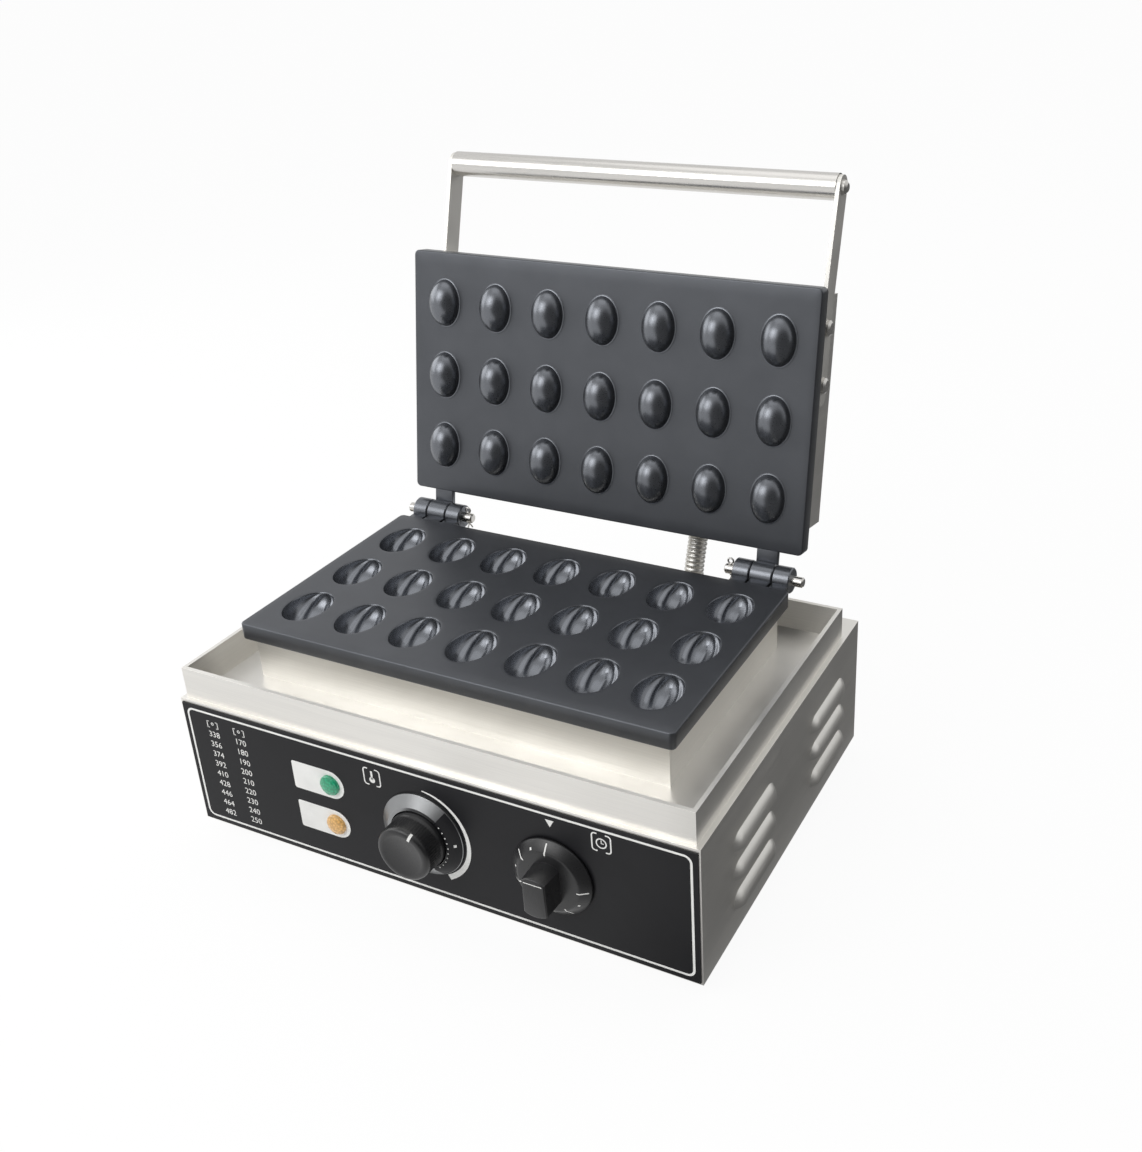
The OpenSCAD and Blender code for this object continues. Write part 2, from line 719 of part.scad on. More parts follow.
// Upper plate: a socket for each dome, one knuckle per hinge, and a heel that stops the open lid
module upper_plate() color(cast) difference() {
    union() {
        open_lid() {
            translate([0, 0, z_face]) plate_blank();
            at_hinges() {
                bar_along_x(-knuckle_mid / 2, knuckle_mid / 2, knuckle_d);
                box(-knuckle_mid / 2, knuckle_mid / 2, -hinge_back - 2, -web_in, z_face - axis_z, web_top);
            }
        }
        at_hinges()
            box(1 - knuckle_mid / 2, knuckle_mid / 2 - 1, -hinge_back + stop_gap, -web_in, -heel_h, 0);
    }
    open_lid() {
        translate([0, 0, z_face]) core_holes();
        at_moulds(z_face - 1) cylinder(d = spigot_d + 2 * fit, h = spigot_l + 1.2);
    }
    at_hinges() bar_along_x(-hinge_half, hinge_half, pin_d + 2 * fit);
}

// Domes under the upper plate's face, each half an egg with a spigot in the plate
module mould_domes() color(cast) open_lid() at_moulds(z_face) {
    rotate([-90, 0, 0]) rotate_extrude(angle = 180) half_egg(dome_r, dome_l);
    translate([0, 0, -dome_r / 2]) cylinder(d = spigot_d, h = dome_r / 2 + spigot_l);
}

// Tubular heater in four runs; its two legs turn away from the plate
module heater(z, away, leg) {
    for (y = run_ys) translate([0, y, z]) bar_along_x(-run_half, run_half, heater_d);
    for (turn = [[run_half, 0, -90], [run_half, 2, -90], [-run_half, 1, 90]])
        translate([turn[0], run_ys[turn[1]] + run_step / 2, z]) rotate([0, 0, turn[2]])
            rotate_extrude(angle = 180) translate([run_step / 2, 0]) circle(d = heater_d);
    for (y = leg_ys) {
        translate([-run_half, y, z + away * leg_r]) rotate([away * 90, 0, 0]) rotate([0, 0, 180])
            rotate_extrude(angle = 90) translate([leg_r, 0]) circle(d = heater_d);
        translate([leg_x, y, z + away * leg_r]) rotate([away > 0 ? 0 : 180, 0, 0])
            cylinder(d = heater_d, h = leg);
    }
}

module lower_heater() color(bright) heater(heater_low_z, -1, heater_low_z - leg_r - floor_under + leg_below);
module upper_heater() color(bright) open_lid() heater(heater_top_z, 1, heater_d);

// Clamp strips over the heater's runs, drawn on the plate side's plane z = 0 and reaching up
module clamps() difference() {
    for (x = clamp_xs)
        box(x - clamp_w / 2, x + clamp_w / 2, run_ys[0] - 1.5 * heater_d, run_ys[3] + 1.5 * heater_d,
            clamp_drop, clamp_drop + clamp_t);
    at_clamp_screws(0) cylinder(d = screw_d + 2 * hole_gap, h = 2 * clamp_drop);
}

module clamp_screws() at_clamp_screws(clamp_drop + clamp_t)
    pan_screw(screw_d, clamp_drop + clamp_t + tap_depth - 1);

module lower_clamps() color(steel) translate([0, 0, z_plate_core]) mirror([0, 0, 1]) clamps();
module lower_clamp_screws() color(bright) translate([0, 0, z_plate_core]) mirror([0, 0, 1]) clamp_screws();
module upper_clamps() color(steel) open_lid() translate([0, 0, z_core]) clamps();
module upper_clamp_screws() color(bright) open_lid() translate([0, 0, z_core]) clamp_screws();

// Ceramic bushes that carry the heater's legs through the tray's floor
module heater_bushes() color(white) for (y = leg_ys) translate([leg_x, y, z_floor]) difference() {
    union() {
        cylinder(d = bush_d, h = bush_h);
        translate([0, 0, -sheet_t - 3]) cylinder(d = heater_d + 4, h = sheet_t + 4);
    }
    translate([0, 0, -leg_below]) cylinder(d = heater_d + 2 * hole_gap, h = 2 * leg_below);
}

// Four sheet walls between the tray's floor and the lower plate's edge, round its heater
module plate_box() color(steel) {
    x = plate_x - box_inset;
    y = plate_d / 2 - box_inset;
    wall_y = y - sheet_t - hole_gap;
    for (side = [-1, 1]) {
        translate([-x, plate_mid + side * (y - sheet_t / 2) - sheet_t / 2, z_floor])
            cube([2 * x, sheet_t, z_plate - edge_t - z_floor]);
        translate([side * (x - sheet_t / 2) - sheet_t / 2, plate_mid - wall_y, z_floor])
            cube([sheet_t, 2 * wall_y, z_plate - edge_t - z_floor]);
    }
}

// Posts between the tray's floor and the lower plate, with a stud at each end
module plate_posts() color(bright) at_posts(z_floor) {
    cylinder(d = post_d, h = z_plate_core - z_floor);
    translate([0, 0, -sheet_t - stud_d - 1])
        cylinder(d = stud_d, h = z_plate_core - floor_under + stud_d + tap_depth);
}

module post_nuts() color(bright) at_posts(floor_under - stud_d) difference() {
    hexagon(1.7 * stud_d, stud_d);
    translate([0, 0, -1]) cylinder(d = stud_d + 2 * hole_gap, h = stud_d + 2);
}

// Posts between the upper plate and the lid cover, tapped for the cover's screws
module lid_posts() color(bright) open_lid() at_posts(z_core) difference() {
    h = z_cover - sheet_t - z_core;
    union() {
        cylinder(d = post_d, h = h);
        translate([0, 0, 1 - tap_depth]) cylinder(d = stud_d, h = tap_depth);
    }
    translate([0, 0, h - 14]) cylinder(d = screw_d + 2 * hole_gap, h = 15);
}

module cover_screws() color(bright) open_lid() at_posts(z_cover) pan_screw(screw_d, sheet_t + 12);

// Sensing bulb against the lower core, beside the heater's runs
module thermostat_bulb() color(brass)
    translate([bulb_x, plate_mid, heater_low_z]) bar_along_x(0, bulb_l, heater_d);

// Point at t along a cubic curve
function curve(a, b, c, d, t) =
    pow(1 - t, 3) * a + 3 * pow(1 - t, 2) * t * b + 3 * (1 - t) * t * t * c + pow(t, 3) * d;

// Direction of a route at its point i
function heading(route, i) =
    let (d = route[min(i + 1, len(route) - 1)] - route[max(i - 1, 0)]) d / norm(d);

// Ring of n points of radius r round a route's point
function ring(p, dir, side, r, n) =
    let (u = cross(dir, side) / norm(cross(dir, side)), v = cross(dir, u))
    [for (k = [0:n - 1]) p + r * (cos(360 * k / n) * u + sin(360 * k / n) * v)];

// Triangles between ring a and ring b, of n points each, numbered from their first points
function band(a, b, n) = [for (k = [0:n - 1]) let (m = (k + 1) % n)
    each [[a + k, a + m, b + m], [a + k, b + m, b + k]]];

// Solid tube through the rings of one list
module solid_tube(rings) {
    n = len(rings[0]);
    last = (len(rings) - 1) * n;
    walls = [for (i = [0:len(rings) - 2]) each band(i * n, (i + 1) * n, n)];
    caps = [for (k = [1:n - 2]) each [[0, k + 1, k], [last, last + k, last + k + 1]]];
    polyhedron([for (r = rings) each r], concat(walls, caps));
}

// Hollow tube: outer rings, then as many inner rings
module hollow_tube(outer, inner) {
    n = len(outer[0]);
    m = len(outer);
    step = m * n;
    skin = [for (i = [0:m - 2]) each band(i * n, (i + 1) * n, n)];
    bore = [for (i = [0:m - 2]) each band(step + (i + 1) * n, step + i * n, n)];
    ends = concat(band(step, 0, n), band((m - 1) * n, step + (m - 1) * n, n));
    polyhedron([for (r = concat(outer, inner)) each r], concat(skin, bore, ends));
}

// Thin tube from the bulb, down through the tray's floor, to the thermostat's top
capillary_a = [bulb_x + bulb_l + capillary_gap, plate_mid, heater_low_z];
capillary_b = [capillary_x, plate_mid, z_floor];
capillary_c = [thermostat_x, y_front + wall_back + control_depth / 2,
    thermostat_z + control_w / 2 - 3 + capillary_gap];
capillary_bend = [capillary_x - capillary_a[0], 0, 0];
capillary_fall = [0, 0, 0.5 * (heater_low_z - z_floor)];
capillary_route = concat(
    [for (i = [0:12]) curve(capillary_a, capillary_a + capillary_bend,
        capillary_b + capillary_fall, capillary_b, i / 12)],
    [for (i = [1:24]) curve(capillary_b, capillary_b - 2 * capillary_fall,
        capillary_c + 3 * capillary_fall, capillary_c, i / 24)]);

module capillary() color(brass) solid_tube(
    [for (i = [0:len(capillary_route) - 1])
        ring(capillary_route[i], heading(capillary_route, i), [0.6, -0.8, 0.1], capillary_d / 2, 8)]);

// Conduit: straight at both ends, bent between them, in a plane across the hinge axis
lid_turn = [[1, 0, 0], [0, cos(open_angle), sin(open_angle)], [0, -sin(open_angle), cos(open_angle)]];
function opened(p) = [0, axis_y, axis_z] + lid_turn * (p - [0, axis_y, axis_z]);
conduit_foot = [conduit_x, ledge_mid, z_under - conduit_in];
conduit_head = opened([conduit_x, cover_rear - sheet_t - conduit_in, conduit_z]);
conduit_up = [0, 0, 1];
conduit_end = lid_turn * [0, -1, 0];
conduit_low = conduit_foot + (conduit_in + sheet_t + conduit_d) * conduit_up;
conduit_high = conduit_head - (conduit_in + sheet_t + conduit_d) * conduit_end;
bend_l = norm(conduit_high - conduit_low) / 3;
low_n = ceil(norm(conduit_low - conduit_foot) / rib_step) * 2;
mid_n = ceil(3 * bend_l / rib_step) * 2;
conduit_route = concat(
    [for (i = [0:low_n - 1]) conduit_foot + i / low_n * (conduit_low - conduit_foot)],
    [for (i = [0:mid_n]) curve(conduit_low, conduit_low + bend_l * conduit_up,
        conduit_high - bend_l * conduit_end, conduit_high, i / mid_n)],
    [for (i = [1:low_n]) conduit_high + i / low_n * (conduit_head - conduit_high)]);

module conduit() color(steel) hollow_tube(
    [for (i = [0:len(conduit_route) - 1])
        ring(conduit_route[i], heading(conduit_route, i), [1, 0, 0], conduit_d / 2 - (i % 2) * rib_depth, 8)],
    [for (i = [0:len(conduit_route) - 1])
        ring(conduit_route[i], heading(conduit_route, i), [1, 0, 0], conduit_bore / 2, 8)]);

// Round gland for the conduit, standing on z = 0
module conduit_gland() difference() {
    rotate_extrude() polygon([[0, 0], [gland_d / 2, 0], [gland_d / 2, 0.45 * gland_h],
        [gland_d / 2 - 2, gland_h], [0, gland_h]]);
    translate([0, 0, -1]) cylinder(d = conduit_hole, h = gland_h + 2);
}

module conduit_gland_lower() color(bright) translate([conduit_x, ledge_mid, z_ledge]) conduit_gland();
module conduit_gland_upper() color(bright) open_lid()
    translate([conduit_x, cover_rear, conduit_z]) rotate([-90, 0, 0]) conduit_gland();

// Cord gland through the rear panel, with its nut inside
module cord_gland() color(black)
    translate([-cord_x, y_rear, z_box + cord_z]) rotate([-90, 0, 0]) difference() {
        union() {
            rotate_extrude() polygon([[0, 0], [cord_gland_d / 2, 0], [cord_gland_d / 2, 6],
                [cord_gland_d / 2 - 3, 14], [cord_gland_d / 2 - 5, 15], [0, 15]]);
            translate([0, 0, -sheet_t - 8]) cylinder(d = cord_gland_d - 8.4, h = sheet_t + 9);
            translate([0, 0, -sheet_t - 4]) hexagon(cord_gland_d - 2, 4);
        }
        translate([0, 0, -cord_gland_d]) cylinder(d = cord_bore, h = 2 * cord_gland_d);
    }

// Hinge pin with chamfered ends and a cross hole near its inner end
module hinge_pin(s) translate([s * hinge_x, axis_y, axis_z]) difference() {
    l = 2 * (hinge_half + pin_out);
    rotate([0, 90, 0]) translate([0, 0, -l / 2]) rotate_extrude()
        polygon([[0, 0], [pin_d / 2 - 1, 0], [pin_d / 2, 1], [pin_d / 2, l - 1], [pin_d / 2 - 1, l], [0, l]]);
    translate([-s * (hinge_half + pin_out / 2), 0, -pin_d]) cylinder(d = split_d + hole_gap, h = 2 * pin_d);
}

module hinge_pin_left() color(bright) hinge_pin(-1);
module hinge_pin_right() color(bright) hinge_pin(1);

// Split pin in each hinge pin: an eye on top, a shank and two spread legs below
module split_pins() color(bright) for (s = [-1, 1])
    translate([s * (hinge_x - hinge_half - pin_out / 2), axis_y, axis_z]) {
        eye_r = 1.1 * split_d;
        translate([0, 0, -pin_d / 2 - 1]) cylinder(d = split_d, h = pin_d + 1.6);
        translate([0, 0, pin_d / 2 + eye_r + split_d / 4 + 0.3]) rotate([90, 0, 0])
            rotate_extrude() translate([eye_r, 0]) circle(d = split_d / 2 + 0.4);
        for (q = [-1, 1]) translate([0, 0, -pin_d / 2 - 0.6]) rotate([180 + q * 35, 0, 0])
            cylinder(d = split_d / 2 + 0.3, h = 3.5 * split_d);
    }

// Folded cover behind the upper plate
module lid_cover() color(steel) open_lid() difference() {
    box(-cover_x, cover_x, cover_front, cover_rear, z_flange, z_cover);
    box(-cover_x + sheet_t, cover_x - sheet_t, cover_front + sheet_t, cover_rear - sheet_t,
        z_flange - 1, z_cover - sheet_t);
    at_posts(z_cover - 10) cylinder(d = screw_d + 2 * hole_gap, h = 20);
    for (y = bolt_ys) translate([0, y, arm_z]) bar_along_x(-plate_w, plate_w, bolt_d + 2 * hole_gap);
    translate([conduit_x, cover_rear - 10, conduit_z]) bar_along_y(0, 20, conduit_hole);
}

// Half circle of points round p, from the angle a0 onwards
function round_end(p, r, a0) = [for (i = [0:12]) p + r * [cos(a0 + 15 * i), sin(a0 + 15 * i)]];

// Outline of a flat strap from p over the bend b to q, with round ends
function strap(p, b, q, w) =
    let (a = atan2(b[1] - p[1], b[0] - p[0]), c = atan2(q[1] - b[1], q[0] - b[0]), m = (a + c) / 2 + 90,
        k = w / 2 / cos((c - a) / 2) * [cos(m), sin(m)])
    concat(round_end(p, w / 2, a + 90), [b - k], round_end(q, w / 2, c - 90), [b + k]);

// Flat arm, bolted to the cover's side and bent up towards the bar
module handle_arm(s) open_lid() difference() {
    x0 = s > 0 ? cover_x : -cover_x - arm_t;
    translate([x0, 0, 0]) rotate([90, 0, 90]) linear_extrude(arm_t)
        polygon(strap([plate_front + arm_back - arm_w / 2, arm_z], [plate_front + arm_bend, arm_z],
            [bar_y, bar_z], arm_w));
    for (y = bolt_ys) translate([0, y, arm_z]) bar_along_x(-plate_w, plate_w, bolt_d + 2 * hole_gap);
    translate([0, bar_y, bar_z]) bar_along_x(-plate_w, plate_w, bolt_d + 2 * hole_gap);
}

module handle_arm_left() color(steel) handle_arm(-1);
module handle_arm_right() color(steel) handle_arm(1);

// Repeats its children at the arm bolts, local Z pointing out of the side
module at_arm_bolts() {
    for (s = [-1, 1], y = bolt_ys)
        translate([s * (cover_x + arm_t), y, arm_z]) rotate([0, s * 90, 0]) children();
}

module arm_bolts() color(bright) open_lid() at_arm_bolts() pan_screw(bolt_d, arm_t + sheet_t + bolt_d + 1);

module arm_nuts() color(bright) open_lid() at_arm_bolts()
    translate([0, 0, -arm_t - sheet_t - 0.8 * bolt_d]) difference() {
        hexagon(1.7 * bolt_d, 0.8 * bolt_d);
        translate([0, 0, -1]) cylinder(d = bolt_d + 2 * hole_gap, h = 2 * bolt_d);
    }

// Tubular bar between the arms, with a tapped plug in each end
module handle_bar() color(bright) open_lid() translate([0, bar_y, bar_z]) difference() {
    half = cover_x - hole_gap;
    bar_along_x(-half, half, bar_d);
    bar_along_x(-half + bar_plug, half - bar_plug, bar_d - 2 * bar_wall);
    bar_along_x(-half - 1, half + 1, bolt_d + 2 * hole_gap);
}

// Button head screws through the arms into the bar's plugs
module handle_screws() color(bright) open_lid() for (s = [-1, 1])
    translate([s * (cover_x + arm_t), bar_y, bar_z]) rotate([0, s * 90, 0]) {
        rotate_extrude() polygon([[0, 0], [0.9 * bolt_d, 0], [0.85 * bolt_d, 0.3 * bolt_d],
            [0.5 * bolt_d, 0.6 * bolt_d], [0, 0.6 * bolt_d]]);
        translate([0, 0, -arm_t - bar_plug]) cylinder(d = bolt_d, h = arm_t + bar_plug + 0.5);
    }

casing();
rear_panel();
rear_screws();
base_plate();
base_screws();
foot_front_left();
foot_front_right();
foot_rear_left();
foot_rear_right();
foot_screws();
top_tray();
control_panel();
power_lamp_lens();
power_lamp_holder();
heat_lamp_lens();
heat_lamp_holder();
thermostat_body();
thermostat_bezel();
thermostat_shaft();
thermostat_knob();
thermostat_bulb();
capillary();
timer_body();
timer_shaft();
timer_knob();
control_screws();
terminal_block();
lower_plate();
lower_heater();
lower_clamps();
lower_clamp_screws();
heater_bushes();
plate_box();
plate_posts();
post_nuts();
hinge_pin_left();
hinge_pin_right();
split_pins();
conduit();
conduit_gland_lower();
conduit_gland_upper();
cord_gland();
upper_plate();
mould_domes();
upper_heater();
upper_clamps();
upper_clamp_screws();
lid_posts();
lid_cover();
cover_screws();
handle_arm_left();
handle_arm_right();
arm_bolts();
arm_nuts();
handle_bar();
handle_screws();
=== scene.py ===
"""Looks of a countertop walnut cookie maker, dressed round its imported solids.

Metres, +Z up, the front faces -Y, and the lid stands open, as in the frame.
"""
import json
import math

import bmesh
import bpy
from bpy.props import FloatProperty, FloatVectorProperty, IntProperty, PointerProperty
from mathutils import Matrix, Vector
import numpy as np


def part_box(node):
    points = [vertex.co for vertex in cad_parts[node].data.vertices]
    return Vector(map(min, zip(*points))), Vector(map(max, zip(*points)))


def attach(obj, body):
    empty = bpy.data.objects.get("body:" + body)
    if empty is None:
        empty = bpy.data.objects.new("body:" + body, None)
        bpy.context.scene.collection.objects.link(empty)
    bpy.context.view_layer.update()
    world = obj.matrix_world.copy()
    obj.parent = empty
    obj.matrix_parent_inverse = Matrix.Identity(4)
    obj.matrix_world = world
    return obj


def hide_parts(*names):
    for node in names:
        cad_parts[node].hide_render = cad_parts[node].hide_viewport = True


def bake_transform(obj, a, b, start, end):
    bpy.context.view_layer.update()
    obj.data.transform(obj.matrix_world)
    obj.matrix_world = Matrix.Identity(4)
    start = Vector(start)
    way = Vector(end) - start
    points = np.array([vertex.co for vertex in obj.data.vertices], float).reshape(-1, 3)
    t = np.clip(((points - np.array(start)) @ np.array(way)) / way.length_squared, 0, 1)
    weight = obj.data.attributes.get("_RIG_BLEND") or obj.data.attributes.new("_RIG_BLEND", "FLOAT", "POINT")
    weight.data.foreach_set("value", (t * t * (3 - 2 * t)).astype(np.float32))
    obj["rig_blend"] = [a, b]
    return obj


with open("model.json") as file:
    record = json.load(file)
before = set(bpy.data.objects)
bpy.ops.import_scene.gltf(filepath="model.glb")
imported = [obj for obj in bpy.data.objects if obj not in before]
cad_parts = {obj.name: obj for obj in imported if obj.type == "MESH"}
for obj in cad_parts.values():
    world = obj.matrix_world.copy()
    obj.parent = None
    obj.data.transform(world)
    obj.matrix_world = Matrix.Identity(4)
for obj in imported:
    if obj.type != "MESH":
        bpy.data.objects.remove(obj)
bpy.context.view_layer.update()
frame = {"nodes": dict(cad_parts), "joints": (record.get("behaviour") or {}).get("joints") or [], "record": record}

bl_info = {
    "name": "Walnut cookie maker looks",
    "version": (1, 0, 0),
    "blender": (4, 5, 0),
    "location": "3D View > Sidebar > Cookie Maker",
    "description": "Dresses the packed cookie maker: mould plates, print, knobs, hose, screws, finishes and stage",
    "category": "Object",
}

# Places that the frame gives
NODES = frame["nodes"]
LID_JOINT = next(j for j in frame["joints"] if j["name"] == "lid_hinge")
HINGE = Vector(LID_JOINT["pos_m"])
LID_ANGLE = math.radians(LID_JOINT["range_deg"][1])
LID_POSE = Matrix.Translation(HINGE) @ Matrix.Rotation(-LID_ANGLE, 4, "X") @ Matrix.Translation(-HINGE)
PANEL_LOW, PANEL_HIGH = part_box("control_panel")
PANEL_Y = PANEL_LOW.y
THERMOSTAT = sum(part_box("thermostat_bezel"), Vector()) / 2
TIMER = sum(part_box("timer_knob"), Vector()) / 2
LAMPS = [sum(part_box(n), Vector()) / 2 for n in ("power_lamp_lens", "heat_lamp_lens")]
HOSE_FOOT = sum(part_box("conduit_gland_lower"), Vector()) / 2
PLATE_LOW, PLATE_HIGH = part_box("lower_plate")

# Sizes of the mould plates, as the solids have them
PLATE_DEPTH = 0.200
PLATE_EDGE = 0.013
PLATE_CORE = 0.022
PLATE_CORNER = 0.004
CORE_INSET = 0.012
EGG_LIFT = 0.0005
AXIS_DROP = 0.002
FACE_GAP = 0.0008
PLATE_TOP = HINGE.z + AXIS_DROP
PLATE_MID = PLATE_LOW.y + PLATE_DEPTH / 2
UPPER_FACE = PLATE_TOP + FACE_GAP

# Hinges: knuckles round the pins and the webs that carry them
HINGE_X = 0.148
HINGE_BACK = 0.019
KNUCKLE_R = 0.010
KNUCKLE_MID = 0.018
KNUCKLE_END = 0.0135
KNUCKLE_GAP = 0.0005
KNUCKLE_RIM = 0.0008
BORE_R = 0.00405
WEB_SIDE = 0.0004
WEB_ROOT = -HINGE_BACK - 0.001
WEB_TIP = -0.007
WEB_BEVEL = 0.0006
HINGE_PLACES = [Matrix.Translation((side * HINGE_X, HINGE.y, HINGE.z)) for side in (-1, 1)]

# Point attribute that says how far the coat is polished, and its values
POLISH = "polish"
CAVITY_POLISH, DOME_POLISH, KNUCKLE_POLISH = 0.62, 0.50, 0.5

# Knobs: heights are from the panel, and a slope is the fall of height with radius
KNOB_FOOT = [(0.0, 0.0032), (0.0190, 0.0032), (0.0190, 0.0008)]
KNOB_TOP = 0.0259
BEZEL_EDGE, BEZEL_TOP, BEZEL_SLOPE = 0.0255, 0.0070, 0.0055 / 0.0075
SKIRT_EDGE, SKIRT_EDGE_TOP, SKIRT_SLOPE = 0.0240, 0.0074, 0.0046 / 0.0056
SKIRT_TOP = 0.0081

# Sizes of the smaller pieces, as the solids have them
COVER_TOP = UPPER_FACE + PLATE_EDGE + 0.051
COVER_INSET = 0.010
POST_X = 0.155
POST_Y = 0.0815
SCREW_D = 0.004
HOSE_D = 0.016
HOSE_IN = 0.008
HOSE_LIFT = 0.036
SHEET = 0.0012

WHITE = (1.0, 1.0, 1.0, 1.0)


# Properties

def length(name, description, default):
    """Property that holds a length."""
    return FloatProperty(name=name, description=description, default=default, unit="LENGTH")


def tint(name, description, default):
    """Property that holds a linear colour."""
    return FloatVectorProperty(name=name, description=description, default=default, subtype="COLOR", size=3,
                               min=0, max=1)


class MakerSizes(bpy.types.PropertyGroup):
    """Sizes that the looks add to the solids."""
    columns: IntProperty(name="Columns", description="Moulds along a row", default=7, min=1, max=7)
    rows: IntProperty(name="Rows", description="Rows of moulds", default=3, min=1, max=3)
    step_x: length("Step along a row", "From mould to mould along a row", 0.0485)
    step_y: length("Step between rows", "From row to row", 0.0595)
    cavity_x: length("Cavity half width", "Half width of a cavity", 0.0165)
    cavity_y: length("Cavity half length", "Half length of a cavity", 0.022)
    dome_x: length("Dome half width", "Half width of a dome", 0.0133)
    dome_y: length("Dome half length", "Half length of a dome", 0.0188)
    seam_depth: length("Seam depth", "Depth of the nut's seam line along a cavity", 0.0006)
    fold_height: length("Fold height", "Height of the nut's folds in a cavity", 0.0022)
    edge_round: length("Edge round", "Radius along the plates' edges", 0.0012)
    rib_step: length("Rib step", "Distance between two ribs of the hose", 0.0036)
    rib_depth: length("Rib depth", "Depth of the hose's ribs", 0.0010)
    print_lift: length("Print lift", "How far print stands off its surface", 0.00008)
    line_width: length("Frame line", "Width of the printed frame line", 0.0017)


class MakerColours(bpy.types.PropertyGroup):
    """Colours of the finishes, as linear values."""
    steel: tint("Sheet steel", "Housing and tray", (0.78, 0.765, 0.73))
    bright: tint("Bright steel", "Handle bar, pins and screws", (0.64, 0.625, 0.60))
    coat: tint("Mould coat", "Dark non-stick coat of the mould plates", (0.098, 0.103, 0.113))
    panel: tint("Panel", "Face of the control panel", (0.012, 0.012, 0.0135))
    knob: tint("Knobs", "Moulded black plastic", (0.013, 0.013, 0.014))
    ink: tint("Print", "White print on the panel", (0.80, 0.80, 0.78))
    green: tint("Power lens", "Green lamp lens", (0.004, 0.25, 0.12))
    amber: tint("Heat lens", "Amber lamp lens", (0.58, 0.33, 0.10))


# Mesh helpers

def join_rings(bm, rings):
    """Faces from each closed ring to the next; a ring of one point closes to a fan."""
    for low, high in zip(rings, rings[1:]):
        m, n = len(low), len(high)
        for i in range(max(m, n)):
            corners = [low[i % m], low[(i + 1) % m], high[(i + 1) % n], high[i % n]]
            bm.faces.new(list(dict.fromkeys(corners)))


def ribbon(bm, rows):
    """Faces between open rows of points."""
    for row, after in zip(rows, rows[1:]):
        for i in range(len(row) - 1):
            bm.faces.new((row[i], after[i], after[i + 1], row[i + 1]))


def on_turn(place, radius, angle, height):
    """Point at a radius, angle and height about the local Z of place."""
    return place @ Vector((radius * math.cos(angle), radius * math.sin(angle), height))


def lathe(bm, profile, place, sides, cut=None):
    """Turned shape from (radius, height) pairs; cut says what flutes take off the radius."""
    rings = []
    for radius, height in profile:
        turn = [2 * math.pi * i / sides for i in range(1 if radius < 1e-7 else sides)]
        rings.append([bm.verts.new(on_turn(place, radius - (cut(a, height) if cut else 0.0), a, height))
                      for a in turn])
    join_rings(bm, rings)


def block(bm, low, high, place, bevel):
    """Box between two corners, with bevelled edges."""
    low, high = Vector(low), Vector(high)
    size = Matrix.Diagonal((*(high - low), 1.0))
    made = bmesh.ops.create_cube(bm, size=1.0, matrix=place @ Matrix.Translation((low + high) / 2) @ size)
    edges = list({e for v in made["verts"] for e in v.link_edges})
    bmesh.ops.bevel(bm, geom=edges, offset=bevel, segments=2, affect="EDGES", profile=0.5)


def loft(bm, loops):
    """Skin over loops of equal length, closed at both ends."""
    rings = [[bm.verts.new(p) for p in loop] for loop in loops]
    join_rings(bm, rings)
    bm.faces.new(list(reversed(rings[0])))
    bm.faces.new(rings[-1])


def soften(mesh, angle):
    """Smooth shading but for edges sharper than the angle."""
    mesh.shade_smooth()
    mesh.set_sharp_from_angle(angle=math.radians(angle))


def new_mesh(name, bm, smooth=35.0, closed=False):
    """Mesh of a finished bmesh; a closed one is welded and turned outwards."""
    if closed:
        bmesh.ops.remove_doubles(bm, verts=bm.verts, dist=1e-6)
        bmesh.ops.recalc_face_normals(bm, faces=bm.faces)
    mesh = bpy.data.meshes.new(name)
    bm.to_mesh(mesh)
    bm.free()
    soften(mesh, smooth)
    return mesh


def add_object(name, mesh, material=None):
    """Object at the origin that shows the mesh."""
    if material:
        mesh.materials.clear()
        mesh.materials.append(material)
    obj = bpy.data.objects.new(name, mesh)
    bpy.context.scene.collection.objects.link(obj)
    return obj


def settle(obj, body, slot, *stands_for):
    """Joins a finished piece to its body and hides the nodes that it stands for; the slot is not used."""
    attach(obj, body)
    if stands_for:
        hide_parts(*stands_for)


def piece(name, bm, material, body, slot, *stands_for, smooth=35.0, closed=False):
    """Settled piece from a finished bmesh."""
    settle(add_object(name, new_mesh(name, bm, smooth, closed), material), body, slot, *stands_for)


# Node helpers

def new_nodes(tree, family, *kinds):
    """One new node for each kind of a family."""
    return [tree.nodes.new(family + kind) for kind in kinds]


def preset(node, **values):
    """Sets a node's inputs by name, with _ for a space; returns the node."""
    for key, value in values.items():
        node.inputs[key.replace("_", " ")].default_value = value
    return node


def wire(tree, *pairs):
    """Links output and input sockets, pair by pair."""
    for source, target in pairs:
        tree.links.new(source, target)


def math_node(tree, operation, a, b=0.0):
    """Value of a simple sum; a and b are sockets or numbers."""
    node = tree.nodes.new("ShaderNodeMath")
    node.operation = operation
    for socket, value in zip(node.inputs, (a, b)):
        if isinstance(value, (int, float)):
            socket.default_value = value
        else:
            tree.links.new(value, socket)
    return node.outputs[0]


def map_range(tree, value, low, high, to_low=0.0, to_high=1.0):
    """Value carried from one range to another and clamped."""
    node = preset(tree.nodes.new("ShaderNodeMapRange"), From_Min=low, From_Max=high, To_Min=to_low, To_Max=to_high)
    tree.links.new(value, node.inputs["Value"])
    return node.outputs["Result"]


# Geometry Nodes

